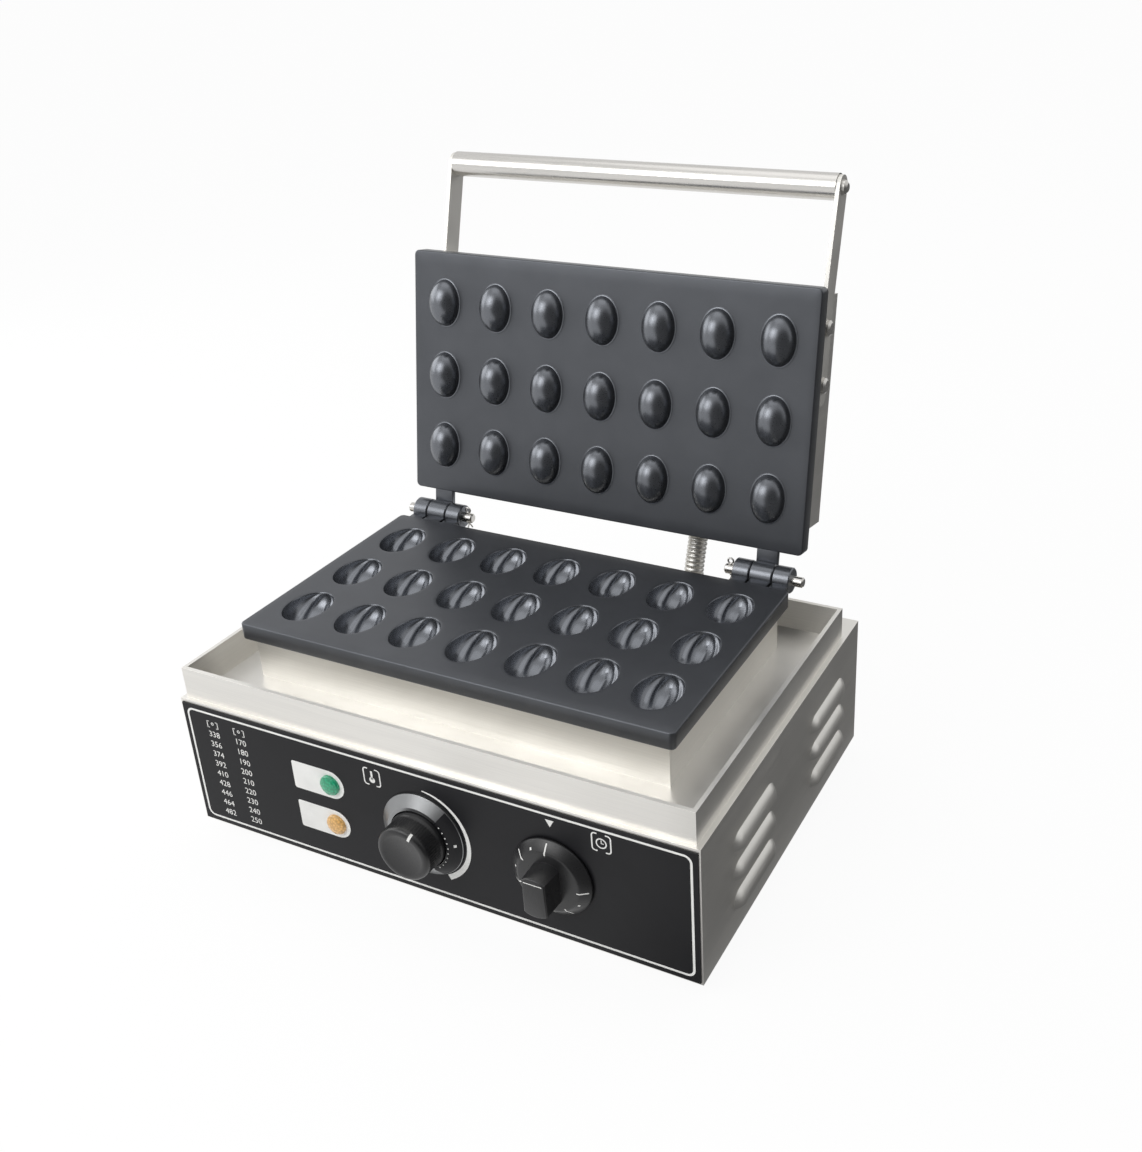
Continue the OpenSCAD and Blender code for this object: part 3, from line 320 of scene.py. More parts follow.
def new_tree(name, **inputs):
    """Geometry tree with named inputs and a surface; returns it, its inputs, its end and the inputs' keys."""
    tree = bpy.data.node_groups.new(name, "GeometryNodeTree")

    def socket(key, side, kind):
        label = key.replace("_", " ")
        return tree.interface.new_socket(name=label, in_out=side, socket_type="NodeSocket" + kind).identifier

    socket("Geometry", "INPUT", "Geometry")
    keys = {key: socket(key, "INPUT", kind) for key, kind in {**inputs, "Surface": "Material"}.items()}
    socket("Geometry", "OUTPUT", "Geometry")
    source, out = new_nodes(tree, "NodeGroup", "Input", "Output")
    return tree, source.outputs, out.inputs[0], keys


def spread_on(tree, shape, points):
    """Node that sets an object at every point."""
    info, spread = new_nodes(tree, "GeometryNode", "ObjectInfo", "InstanceOnPoints")
    wire(tree, (shape, info.inputs["Object"]), (info.outputs["Geometry"], spread.inputs["Instance"]),
         (points, spread.inputs["Points"]))
    return spread


def hand_out(tree, given, out, shape, weld=0.0):
    """Makes a shape real, welds it, paints it and hands it out."""
    real, paint = new_nodes(tree, "GeometryNode", "RealizeInstances", "SetMaterial")
    made = real.outputs[0]
    if weld:
        merge = preset(tree.nodes.new("GeometryNodeMergeByDistance"), Distance=weld)
        wire(tree, (made, merge.inputs["Geometry"]))
        made = merge.outputs[0]
    wire(tree, (shape, real.inputs[0]), (made, paint.inputs["Geometry"]),
         (given["Surface"], paint.inputs["Material"]), (paint.outputs[0], out))


def grown(name, made, start=None, **values):
    """Plain mesh that a tree grows from its start and its named values."""
    tree, keys = made
    holder = bpy.data.objects.new(name + "_nodes", start or bpy.data.meshes.new(name + "_start"))
    bpy.context.scene.collection.objects.link(holder)
    modifier = holder.modifiers.new("Nodes", "NODES")
    modifier.node_group = tree
    for key, value in values.items():
        modifier[keys[key]] = value
    graph = bpy.context.evaluated_depsgraph_get()
    graph.update()
    mesh = bpy.data.meshes.new_from_object(holder.evaluated_get(graph))
    mesh.name = name
    holder.modifiers.remove(modifier)
    bpy.data.objects.remove(holder)
    return mesh


def mould_field_tree():
    """Tiles, one for each mould, in a field of rows and columns."""
    tree, given, out, keys = new_tree("Mould field", Tile="Object", Columns="Int", Rows="Int", Step_X="Float",
                                      Step_Y="Float")
    grid = tree.nodes.new("GeometryNodeMeshGrid")
    for side, count in (("X", "Columns"), ("Y", "Rows")):
        gaps = math_node(tree, "SUBTRACT", given[count], 1)
        wire(tree, (math_node(tree, "MULTIPLY", gaps, given["Step " + side]), grid.inputs["Size " + side]),
             (given[count], grid.inputs["Vertices " + side]))
    tiles = spread_on(tree, given["Tile"], grid.outputs["Mesh"])
    hand_out(tree, given, out, tiles.outputs["Instances"], weld=1e-5)
    return tree, keys


def fastener_tree():
    """One shape at every point of the start mesh, all turned the same way."""
    tree, given, out, keys = new_tree("Fasteners", Shape="Object", Turn="Rotation")
    spread = spread_on(tree, given["Shape"], given["Geometry"])
    wire(tree, (given["Turn"], spread.inputs["Rotation"]))
    hand_out(tree, given, out, spread.outputs["Instances"])
    return tree, keys


def dial_mark_tree():
    """Marks set round a dial over part of a turn, each pointing outwards."""
    tree, given, out, keys = new_tree("Dial marks", Mark="Object", Count="Int", Radius="Float", First="Float",
                                      Sweep="Float")
    arc, points, place = new_nodes(tree, "GeometryNode", "CurveArc", "CurveToPoints", "InputPosition")
    apart, turn = new_nodes(tree, "ShaderNode", "SeparateXYZ", "CombineXYZ")
    preset(arc, Resolution=128)
    spread = spread_on(tree, given["Mark"], points.outputs["Points"])
    wire(tree, (given["Radius"], arc.inputs["Radius"]), (given["First"], arc.inputs["Start Angle"]),
         (given["Sweep"], arc.inputs["Sweep Angle"]), (arc.outputs["Curve"], points.inputs["Curve"]),
         (given["Count"], points.inputs["Count"]), (place.outputs[0], apart.inputs[0]),
         (math_node(tree, "ARCTAN2", apart.outputs["Y"], apart.outputs["X"]), turn.inputs["Z"]),
         (turn.outputs[0], spread.inputs["Rotation"]))
    hand_out(tree, given, out, spread.outputs["Instances"])
    return tree, keys


def ribbed_hose_tree():
    """Hose along the start curve, its radius rising and falling once a rib."""
    tree, given, out, keys = new_tree("Ribbed hose", Radius="Float", Rib_Step="Float", Rib_Depth="Float")
    dense, along, circle, skin = new_nodes(tree, "GeometryNode", "ResampleCurve", "SplineParameter",
                                           "CurvePrimitiveCircle", "CurveToMesh")
    dense.mode = "LENGTH"
    preset(circle, Resolution=40)
    preset(skin, Fill_Caps=True)
    ribs = math_node(tree, "DIVIDE", along.outputs["Length"], given["Rib Step"])
    wave = math_node(tree, "ABSOLUTE", math_node(tree, "SINE", math_node(tree, "MULTIPLY", ribs, math.pi)))
    hollow = math_node(tree, "SUBTRACT", 1.0, math_node(tree, "POWER", wave, 0.6))
    share = math_node(tree, "DIVIDE", given["Rib Depth"], given["Radius"])
    scale = math_node(tree, "SUBTRACT", 1.0, math_node(tree, "MULTIPLY", share, hollow))
    wire(tree, (given["Geometry"], dense.inputs["Curve"]),
         (math_node(tree, "DIVIDE", given["Rib Step"], 8.0), dense.inputs["Length"]),
         (given["Radius"], circle.inputs["Radius"]), (dense.outputs[0], skin.inputs["Curve"]),
         (circle.outputs["Curve"], skin.inputs["Profile Curve"]), (scale, skin.inputs["Scale"]))
    hand_out(tree, given, out, skin.outputs[0])
    return tree, keys


# Shader groups

def new_group(name, key, kind, default, *outputs):
    """Shader group with one input; returns it, that input, the inputs of its end and its object coordinates."""
    tree = bpy.data.node_groups.new(name, "ShaderNodeTree")
    tree.interface.new_socket(name=key, in_out="INPUT", socket_type="NodeSocket" + kind).default_value = default
    for output in outputs:
        tree.interface.new_socket(name=output, in_out="OUTPUT", socket_type="NodeSocketFloat")
    source, out = new_nodes(tree, "NodeGroup", "Input", "Output")
    return tree, source.outputs[key], out.inputs, tree.nodes.new("ShaderNodeTexCoord").outputs["Object"]


def brushed_group():
    """Fine lines drawn along one direction, with slower changes of tone across them."""
    tree, stretch, out, place = new_group("Brushed lines", "Stretch", "Vector", (20.0, 900.0, 900.0), "Tone", "Height")
    mapping, fine, slow = new_nodes(tree, "ShaderNode", "Mapping", "TexNoise", "TexNoise")
    preset(fine, Scale=2.0, Detail=3.0)
    preset(slow, Scale=0.25, Detail=2.0)
    both = math_node(tree, "ADD", math_node(tree, "MULTIPLY", fine.outputs["Fac"], 0.65),
                     math_node(tree, "MULTIPLY", slow.outputs["Fac"], 0.35))
    wire(tree, (place, mapping.inputs["Vector"]), (stretch, mapping.inputs["Scale"]),
         (mapping.outputs[0], fine.inputs["Vector"]), (mapping.outputs[0], slow.inputs["Vector"]),
         (both, out["Tone"]), (fine.outputs["Fac"], out["Height"]))


def grain_group():
    """Fine moulded or cast grain: small round bumps over a slow change of tone."""
    tree, scale, out, place = new_group("Fine grain", "Scale", "Float", 900.0, "Tone", "Height")
    bumps, tone = new_nodes(tree, "ShaderNode", "TexNoise", "TexNoise")
    preset(bumps, Detail=4.0)
    preset(tone, Detail=3.0)
    wire(tree, (place, bumps.inputs["Vector"]), (place, tone.inputs["Vector"]), (scale, bumps.inputs["Scale"]),
         (math_node(tree, "MULTIPLY", scale, 0.03), tone.inputs["Scale"]),
         (bumps.outputs["Fac"], out["Height"]), (tone.outputs["Fac"], out["Tone"]))


def edge_group():
    """Mask along the sharp edges of a piece, broken up a little, for painted highlight and rubbing on edges."""
    tree, width, out, place = new_group("Edge wear", "Width", "Float", 0.0008, "Mask")
    bevel, face, dot, speckle = new_nodes(tree, "ShaderNode", "Bevel", "NewGeometry", "VectorMath", "TexNoise")
    dot.operation = "DOT_PRODUCT"
    bevel.samples = 6
    preset(speckle, Scale=140.0)
    wire(tree, (width, bevel.inputs["Radius"]), (bevel.outputs[0], dot.inputs[0]),
         (face.outputs["Normal"], dot.inputs[1]), (place, speckle.inputs["Vector"]))
    sharp = map_range(tree, dot.outputs["Value"], 0.99, 0.80)
    broken = map_range(tree, speckle.outputs["Fac"], 0.35, 0.60, 0.35, 1.0)
    wire(tree, (math_node(tree, "MULTIPLY", sharp, broken), out["Mask"]))


def smear_group():
    """Soft wiped patches, for handling marks on gloss and on metal."""
    tree, scale, out, place = new_group("Wiped smears", "Scale", "Float", 14.0, "Mask")
    mapping, cloud = new_nodes(tree, "ShaderNode", "Mapping", "TexNoise")
    preset(mapping, Rotation=(0.3, 0.5, 0.4), Scale=(1.0, 2.2, 1.4))
    preset(cloud, Detail=4.0, Distortion=0.6)
    wire(tree, (place, mapping.inputs["Vector"]), (mapping.outputs[0], cloud.inputs["Vector"]),
         (scale, cloud.inputs["Scale"]), (map_range(tree, cloud.outputs["Fac"], 0.38, 0.66), out["Mask"]))


# Finishes

def scaled(colour, factor):
    """Colour made lighter or darker."""
    return tuple(min(1.0, c * factor) for c in colour)


class Finish:
    """Node material round a Principled shader with the given values."""

    def __init__(self, name, **values):
        self.material = bpy.data.materials.new(name)
        self.material.use_nodes = True
        self.tree = self.material.node_tree
        self.shader = preset(self.tree.nodes["Principled BSDF"], **values)

    def group(self, name, **values):
        """Outputs of a shader group, with its own values."""
        node = self.tree.nodes.new("ShaderNodeGroup")
        node.node_tree = bpy.data.node_groups[name]
        return preset(node, **values).outputs

    def mix(self, mask, first, second):
        """Colour that goes from first to second with the mask."""
        node = self.tree.nodes.new("ShaderNodeMix")
        node.data_type = "RGBA"
        for socket, value in zip([s for s in node.inputs if s.type == "RGBA"], (first, second)):
            if hasattr(value, "is_linked"):
                self.tree.links.new(value, socket)
            else:
                socket.default_value = (*value, 1.0)
        self.tree.links.new(mask, node.inputs[0])
        return next(s for s in node.outputs if s.type == "RGBA")

    def grain_tone(self, mask, colour, low=0.88):
        """Colour that varies a little with the mask."""
        return self.mix(mask, scaled(colour, low), scaled(colour, 1.12))

    def worn(self, tone, colour, width=0.0008):
        """Tone that turns to the colour along sharp edges: a painted highlight, with some rubbing."""
        return self.mix(self.group("Edge wear", Width=width)["Mask"], tone, colour)

    def ranged(self, value, low, high, *to):
        """Value carried from one range to another."""
        return map_range(self.tree, value, low, high, *to)

    def done(self, tone, rough, height, strength, depth):
        """Wires colour, roughness and relief into the shader; returns the material."""
        bump = preset(self.tree.nodes.new("ShaderNodeBump"), Strength=strength, Distance=depth)
        into = self.shader.inputs
        wire(self.tree, (tone, into["Base Color"]), (rough, into["Roughness"]), (height, bump.inputs["Height"]),
             (bump.outputs[0], into["Normal"]))
        return self.material


def brushed_metal(name, colour, stretch, rough=(0.30, 0.46)):
    """Brushed sheet or bar: drawn lines, wiped patches and edges lightened by painted highlight and rubbing."""
    made = Finish(name, Metallic=1.0)
    lines = made.group("Brushed lines", Stretch=stretch)
    smear = made.group("Wiped smears", Scale=9.0)["Mask"]
    tone = made.worn(made.grain_tone(lines["Tone"], colour, 0.86), scaled(colour, 1.25), 0.0009)
    wiped = math_node(made.tree, "ADD", made.ranged(lines["Tone"], 0.3, 0.7, *rough),
                      math_node(made.tree, "MULTIPLY", smear, 0.06))
    return made.done(tone, wiped, lines["Height"], 0.35, 0.00004)


def grained(name, colour, rough, scale, depth, wear, metallic=0.0):
    """Moulded plastic, rubber, paint or ink: fine grain, a slow change of tone and edges lightened by painted
    highlight and rubbing.
    """
    made = Finish(name, Metallic=metallic)
    grain = made.group("Fine grain", Scale=scale)
    tone = made.worn(made.grain_tone(grain["Tone"], colour), scaled(colour, wear))
    return made.done(tone, made.ranged(grain["Height"], 0.3, 0.7, *rough), grain["Height"], 0.4, depth)


def coated(name, colour):
    """Dark release coat: fine grained on a plate's flat, smoother and paler where moulds and knuckles are polished;
    painted highlight and rubbing lighten its edges.
    """
    made = Finish(name, Metallic=0.88)
    grain = made.group("Fine grain", Scale=1300.0)
    attribute = made.tree.nodes.new("ShaderNodeAttribute")
    attribute.attribute_name = POLISH
    polish = attribute.outputs["Fac"]
    tone = made.mix(polish, made.grain_tone(grain["Tone"], colour), scaled(colour, 2.3))
    rough = math_node(made.tree, "ADD", made.ranged(grain["Height"], 0.3, 0.7, -0.03, 0.03),
                      made.ranged(polish, 0.0, 1.0, 0.39, 0.20))
    return made.done(made.worn(tone, scaled(colour, 1.7)), rough, grain["Height"], 0.1, 0.00002)


def gloss_panel(name, colour):
    """Black faced panel under a clear film with faint wiped smears."""
    made = Finish(name, Specular_IOR_Level=0.14)
    smear = made.group("Wiped smears", Scale=11.0)["Mask"]
    grain = made.group("Fine grain", Scale=1600.0)
    tone = made.mix(smear, colour, scaled(colour, 1.25))
    return made.done(tone, made.ranged(smear, 0.0, 1.0, 0.28, 0.42), grain["Height"], 0.15, 0.00002)


def lamp_lens(name, colour, glow):
    """Domed lens, pressed in small cells and a little lit from behind."""
    made = Finish(name, Coat_Weight=0.6, Coat_Roughness=0.08, Emission_Strength=glow)
    place, cells = new_nodes(made.tree, "ShaderNode", "TexCoord", "TexVoronoi")
    preset(cells, Scale=520.0)
    apart = cells.outputs["Distance"]
    tone = made.mix(made.ranged(apart, 0.1, 0.7), scaled(colour, 1.25), scaled(colour, 0.75))
    wire(made.tree, (place.outputs["Object"], cells.inputs["Vector"]), (tone, made.shader.inputs["Emission Color"]))
    return made.done(tone, made.ranged(apart, 0.0, 0.7, 0.14, 0.26), apart, 0.25, 0.0002)


def heat_tinted(name, colour):
    """Heater sheath with bands of straw and blue from heating."""
    made = Finish(name, Metallic=1.0)
    smear = made.group("Wiped smears", Scale=26.0)["Mask"]
    grain = made.group("Fine grain", Scale=700.0)
    straw = made.mix(smear, scaled(colour, 0.7), (0.30, 0.21, 0.12))
    tone = made.mix(made.ranged(grain["Tone"], 0.5, 0.75), straw, (0.12, 0.13, 0.19))
    return made.done(tone, made.ranged(grain["Height"], 0.3, 0.7, 0.35, 0.5), grain["Height"], 0.3, 0.00005)


def finish_for(slot):
    """Finish of one slot of the record, made on first use."""
    name = slot + "_finish"
    if name in bpy.data.materials:
        return bpy.data.materials[name]
    colours = bpy.context.scene.maker_colours
    every_way = (300.0, 300.0, 300.0)
    makers = {
        "housing_steel": (brushed_metal, colours.steel, (14.0, 14.0, 900.0)),
        "fastener_steel": (brushed_metal, colours.bright, every_way, (0.20, 0.34)),
        "bright_steel": (brushed_metal, colours.bright, (12.0, 700.0, 700.0), (0.16, 0.30)),
        "strip_steel": (brushed_metal, colours.steel, (700.0, 14.0, 14.0), (0.42, 0.55)),
        "heater_sheath": (heat_tinted, (0.30, 0.28, 0.26)),
        "conduit_steel": (brushed_metal, scaled(colours.steel, 0.85), (500.0, 500.0, 120.0), (0.28, 0.44)),
        "rubber": (grained, (0.022, 0.022, 0.022), (0.62, 0.78), 500.0, 0.0001, 1.6),
        "panel_black": (gloss_panel, colours.panel),
        "lens_green": (lamp_lens, colours.green, 0.25),
        "lens_amber": (lamp_lens, colours.amber, 0.20),
        "inner_plastic": (grained, (0.62, 0.60, 0.54), (0.4, 0.52), 800.0, 0.00004, 1.1),
        "ceramic": (grained, (0.72, 0.69, 0.62), (0.55, 0.7), 1200.0, 0.00005, 1.08),
        "bezel_grey": (grained, (0.30, 0.305, 0.31), (0.28, 0.38), 1500.0, 0.00002, 1.3, 1.0),
        "knob_black": (grained, colours.knob, (0.27, 0.38), 1100.0, 0.00003, 2.6),
        "copper": (brushed_metal, (0.55, 0.27, 0.14), every_way, (0.28, 0.42)),
        "mould_coating": (coated, colours.coat),
        "print_white": (grained, colours.ink, (0.45, 0.6), 2200.0, 0.00001, 1.02),
    }
    make, *values = makers[slot]
    return make(name, *values)


# Mould plates

def tile_border(sizes, across, along):
    """Points round one tile's rectangle, the same on opposite sides, and the angle of each one on a ring."""
    hx, hy = sizes.step_x / 2, sizes.step_y / 2
    right = [(hx, -hy + 2 * hy * i / along) for i in range(along)]
    back = [(hx - 2 * hx * i / across, hy) for i in range(across)]
    border = right + back + [(-x, -y) for x, y in right + back]
    return [(x, y, 0.0) for x, y in border], [math.atan2(y / hy, x / hx) for x, y in border]


def ellipse(angles, half_x, half_y, z):
    """Ring with one point for each angle."""
    return [(half_x * math.cos(a), half_y * math.sin(a), z) for a in angles]


def mould_tile(name, rings):
    """Tile from its rings, from the border inwards."""
    bm = bmesh.new()
    join_rings(bm, [[bm.verts.new(p) for p in ring] for ring in rings])
    return add_object(name, new_mesh(name, bm, 50.0))


def nut_relief(x, y, z, sizes):
    """How far the nut's folds stand into a cavity, less the line of its seam, at a point of the wall."""
    fold_at, fold_lean, fold_spread, seam_spread = 0.58, 0.48, 0.17, 0.11
    around = math.atan2(x, max(EGG_LIFT - z, 1e-6))
    along = y / sizes.cavity_y
    from_fold = abs(around) - fold_at - fold_lean * max(along, 0.0)
    fold = sizes.fold_height * math.exp(-(from_fold / fold_spread) ** 2)
    fold *= min(1.0, max(0.0, 2.0 * along + 0.7))
    seam = sizes.seam_depth * math.exp(-(around / seam_spread) ** 2)
    return max(0.0, 1.0 - along ** 6) * (fold - seam)


def cavity_tile(sizes):
    """One tile of the lower plate: a flat border, a rounded lip and a cavity shaped like half a walnut."""
    border, angles = tile_border(sizes, 18, 22)
    rx, ry, steps = sizes.cavity_x, sizes.cavity_y, 30
    lip = ((0.0030, 0.0), (0.0009, 0.0), (0.0003, -0.00012), (0.0, -0.0005))
    rings = [border] + [ellipse(angles, rx + out, ry + out, z) for out, z in lip]
    for k in range(1, steps):
        sink = math.radians(3.0 + 87.0 * k / steps)
        ring = []
        for x, y, z in ellipse(angles, rx * math.cos(sink), ry * math.cos(sink), EGG_LIFT - rx * math.sin(sink)):
            inward = -Vector((x / rx ** 2, y / ry ** 2, (z - EGG_LIFT) / rx ** 2)).normalized()
            ring.append(Vector((x, y, z)) + inward * nut_relief(x, y, z, sizes))
        rings.append(ring)
    return mould_tile("cavity_tile", rings + [[(0.0, 0.0, EGG_LIFT - rx - sizes.seam_depth)]])


def dome_tile(sizes):
    """One tile of the upper plate: a flat border, a low shoulder and a smooth dome."""
    border, angles = tile_border(sizes, 10, 12)
    rx, ry, steps = sizes.dome_x, sizes.dome_y, 16
    shoulder = ((0.0024, 0.0), (0.0015, 0.0), (0.0013, 0.00025), (0.0006, 0.0003), (0.00022, 0.00045), (0.0, 0.0012))
    rings = [border] + [ellipse(angles, rx + out, ry + out, z) for out, z in shoulder]
    for k in range(1, steps):
        rise = math.radians(7.0 + 83.0 * k / steps)
        rings.append(ellipse(angles, rx * math.cos(rise), ry * math.cos(rise), rx * math.sin(rise)))
    return mould_tile("dome_tile", rings + [[(0.0, 0.0, rx)]])


def rim_place(home, field, half, segment, inset):
    """Place on the plate's outline, with its rounded corners, for a point of the field's rim."""
    from_x, from_y = ((field[i] - abs(home[i])) / segment[i] for i in (0, 1))
    if max(from_x, from_y) > 1.001:
        return home[0] / field[0] * (half[0] - inset), home[1] / field[1] * (half[1] - inset)
    r = max(PLATE_CORNER - inset, 0.0004)
    turn = math.radians(45.0 + 45.0 * (from_x - from_y))
    reach = (half[0] - inset - r + r * math.cos(turn), half[1] - inset - r + r * math.sin(turn))
    return math.copysign(reach[0], home[0]), math.copysign(reach[1], home[1])


def plate_with_moulds(name, tile, made, sizes, material):
    """Cast plate grown outwards and down from its field of tiles, face up at z = 0."""
    mesh = grown(name, made, Tile=tile, Columns=sizes.columns, Rows=sizes.rows, Step_X=sizes.step_x,
                 Step_Y=sizes.step_y, Surface=material)
    bpy.data.objects.remove(tile)
    bm = bmesh.new()
    bm.from_mesh(mesh)
    bpy.data.meshes.remove(mesh)
    bmesh.ops.recalc_face_normals(bm, faces=bm.faces)
    if sum(f.normal.z for f in bm.faces) < 0:
        bmesh.ops.reverse_faces(bm, faces=bm.faces)
    polish, flat = bm.verts.layers.float.new(POLISH), 0.0003
    for v in bm.verts:
        v[polish] = CAVITY_POLISH if v.co.z < -flat else DOME_POLISH if v.co.z > flat else 0.0
    field = (sizes.columns * sizes.step_x / 2, sizes.rows * sizes.step_y / 2)
    half, r = (PLATE_HIGH.x, PLATE_DEPTH / 2), sizes.edge_round
    levels = [(r, 0.0), (0.6 * r, -0.08 * r), (0.29 * r, -0.29 * r), (0.08 * r, -0.6 * r), (0.0, -r),
              (0.0, r - PLATE_EDGE), (0.29 * r, 0.29 * r - PLATE_EDGE), (r, -PLATE_EDGE),
              (CORE_INSET, -PLATE_EDGE), (CORE_INSET, -PLATE_CORE)]
    corner = [v for v in bm.verts if abs(abs(v.co.x) - field[0]) + abs(abs(v.co.y) - field[1]) < 2e-5]
    at_corner = [e for v in corner for e in v.link_edges if e.is_boundary]
    segment = [max(abs(e.verts[0].co[i] - e.verts[1].co[i]) for e in at_corner) for i in (0, 1)]
    bmesh.ops.subdivide_edges(bm, edges=at_corner, cuts=5)
    rim = [e for e in bm.edges if e.is_boundary]
    homes = {v: v.co.copy() for e in rim for v in e.verts}
    for inset, z in levels:
        grown_out = bmesh.ops.extrude_edge_only(bm, edges=rim)["geom"]
        rim = [g for g in grown_out if isinstance(g, bmesh.types.BMEdge) and g.is_boundary]
        before, homes = homes, {}
        for v in {v for e in rim for v in e.verts}:
            home = min(before.items(), key=lambda item: (item[0].co - v.co).length_squared)[1]
            v.co = (*rim_place(home, field, half, segment, inset), z)
            homes[v] = home
    bmesh.ops.contextual_create(bm, geom=rim)
    bmesh.ops.recalc_face_normals(bm, faces=bm.faces)
    return bm


def knuckle(bm, x0, x1, place):
    """One hinge knuckle with a bore and rounded rims, along X from x0 to x1."""
    inner, c = KNUCKLE_R - KNUCKLE_RIM, KNUCKLE_RIM
    profile = [(BORE_R, x0), (inner, x0), (KNUCKLE_R, x0 + c), (KNUCKLE_R, x1 - c), (inner, x1), (BORE_R, x1),
               (BORE_R, x0)]
    lathe(bm, profile, place @ Matrix.Rotation(math.pi / 2, 4, "Y"), 40)


def polish_knuckles(bm):
    """Marks the hinge knuckles as polished."""
    polish = bm.verts.layers.float[POLISH]
    for v in bm.verts:
        if math.hypot(v.co.y - HINGE.y, v.co.z - HINGE.z) < KNUCKLE_R + 1e-5:
            v[polish] = KNUCKLE_POLISH


def lower_plate_piece(sizes, made, material):
    """Lower mould plate with its hinge knuckles."""
    bm = plate_with_moulds("lower_mould_plate", cavity_tile(sizes), made, sizes, material)
    bm.transform(Matrix.Translation((0.0, PLATE_MID, PLATE_TOP)))
    near = KNUCKLE_MID / 2 + KNUCKLE_GAP
    far = near + KNUCKLE_END
    web_low, web_high = AXIS_DROP - PLATE_EDGE + 0.0006, -0.0003
    for place in HINGE_PLACES:
        for x0, x1 in ((-far, -near), (near, far)):
            knuckle(bm, x0, x1, place)
            block(bm, (x0 + WEB_SIDE, WEB_ROOT, web_low), (x1 - WEB_SIDE, WEB_TIP, web_high), place, WEB_BEVEL)
    polish_knuckles(bm)
    piece("lower_mould_plate", bm, material, "base", "mould_coating", "lower_plate", smooth=32.0)


def upper_plate_piece(sizes, made, material):
    """Upper mould plate with its knuckles and the heels that stop the open lid."""
    bm = plate_with_moulds("upper_mould_plate", dome_tile(sizes), made, sizes, material)
    bm.transform(Matrix.Translation((0.0, PLATE_MID, UPPER_FACE)) @ Matrix.Rotation(math.pi, 4, "X"))
    half = KNUCKLE_MID / 2
    web_low, web_high = UPPER_FACE - HINGE.z + 0.0003, 0.0078
    heel_side, heel_root, heel_low = 0.001, 0.0003 - HINGE_BACK, -0.008
    for place in HINGE_PLACES:
        knuckle(bm, -half, half, place)
        block(bm, (WEB_SIDE - half, WEB_ROOT, web_low), (half - WEB_SIDE, WEB_TIP, web_high), place, WEB_BEVEL)
    bm.transform(LID_POSE)
    for place in HINGE_PLACES:
        block(bm, (heel_side - half, heel_root, heel_low), (half - heel_side, WEB_TIP, 0.0), place, WEB_BEVEL)
    polish_knuckles(bm)
    piece("upper_mould_plate", bm, material, "lid", "mould_coating", "upper_plate", "mould_domes", smooth=32.0)


# Print on the control panel

class Print:
    """Flat print that lies on the panel; x runs right and z up, both in metres from the frame's origin."""

    def __init__(self, name):
        self.name = name
        self.bm = bmesh.new()

    def points(self, outline):
        """New points of an outline."""
        return [self.bm.verts.new((x, 0.0, z)) for x, z in outline]

    def strip(self, outer, inner):
        """Band between two closed outlines of equal length."""
        join_rings(self.bm, [self.points(outer), self.points(inner)])

    def path(self, points, *widths):
        """Line along points, of one width or of a width at each point."""
        rows = []
        for i, (x, z) in enumerate(points):
            ahead = Vector(points[min(i + 1, len(points) - 1)]) - Vector(points[max(i - 1, 0)])
            side = Vector((-ahead.y, ahead.x)).normalized() * widths[i % len(widths)] / 2
            rows.append(self.points([(x + side.x, z + side.y), (x - side.x, z - side.y)]))
        for (a, b), (c, d) in zip(rows, rows[1:]):
            self.bm.faces.new((a, b, d, c))

    def area(self, outline):
        """Filled outline."""
        self.bm.faces.new(self.points(outline))

    def number(self, text, x, z, height):
        """Generic numeral, centred at a place."""
        curve = bpy.data.curves.new("numeral", "FONT")
        curve.body = text
        curve.size = height / 0.7
        curve.align_x = curve.align_y = "CENTER"
        curve.resolution_u = 3
        holder = bpy.data.objects.new("numeral", curve)
        mesh = bpy.data.meshes.new_from_object(holder)
        mesh.transform(Matrix.Translation((x, 0.0, z)) @ Matrix.Rotation(math.pi / 2, 4, "X"))
        self.bm.from_mesh(mesh)
        bpy.data.objects.remove(holder)
        bpy.data.curves.remove(curve)
        bpy.data.meshes.remove(mesh)

    def lay(self, y, material):
        """Finished print piece at depth y, facing the front."""
        for v in self.bm.verts:
            v.co.y = y
        self.bm.normal_update()
        for face in [f for f in self.bm.faces if f.normal.y > 0]:
            face.normal_flip()
        piece(self.name, self.bm, material, "base", None, smooth=30.0)


def arc_points(cx, cz, r, first, last, steps):
    """Points on an arc, by angles in degrees from +X towards +Z."""
    turn = [math.radians(first + (last - first) * i / steps) for i in range(steps + 1)]
    return [(cx + r * math.cos(a), cz + r * math.sin(a)) for a in turn]


def rounded_outline(x0, x1, z0, z1, radii):
    """Closed outline of a rectangle; radii are those of its right top, left top, left and right bottom corners."""
    outline = []
    for (x, z, first), r in zip(((x1, z1, 0), (x0, z1, 90), (x0, z0, 180), (x1, z0, 270)), radii):
        cx = x - r if x == x1 else x + r
        cz = z - r if z == z1 else z + r
        outline += arc_points(cx, cz, r, first, first + 90.0, 8)
    return outline


def print_frame(sizes, y, ink):
    """White frame line round the panel."""
    line = Print("panel_frame_line")
    x, z0, z1, r, w = 0.2050, PANEL_LOW.z + 0.0036, PANEL_HIGH.z - 0.0030, 0.006, sizes.line_width
    line.strip(rounded_outline(-x, x, z0, z1, [r] * 4), rounded_outline(w - x, x - w, z0 + w, z1 - w, [r - w] * 4))
    line.lay(y, ink)


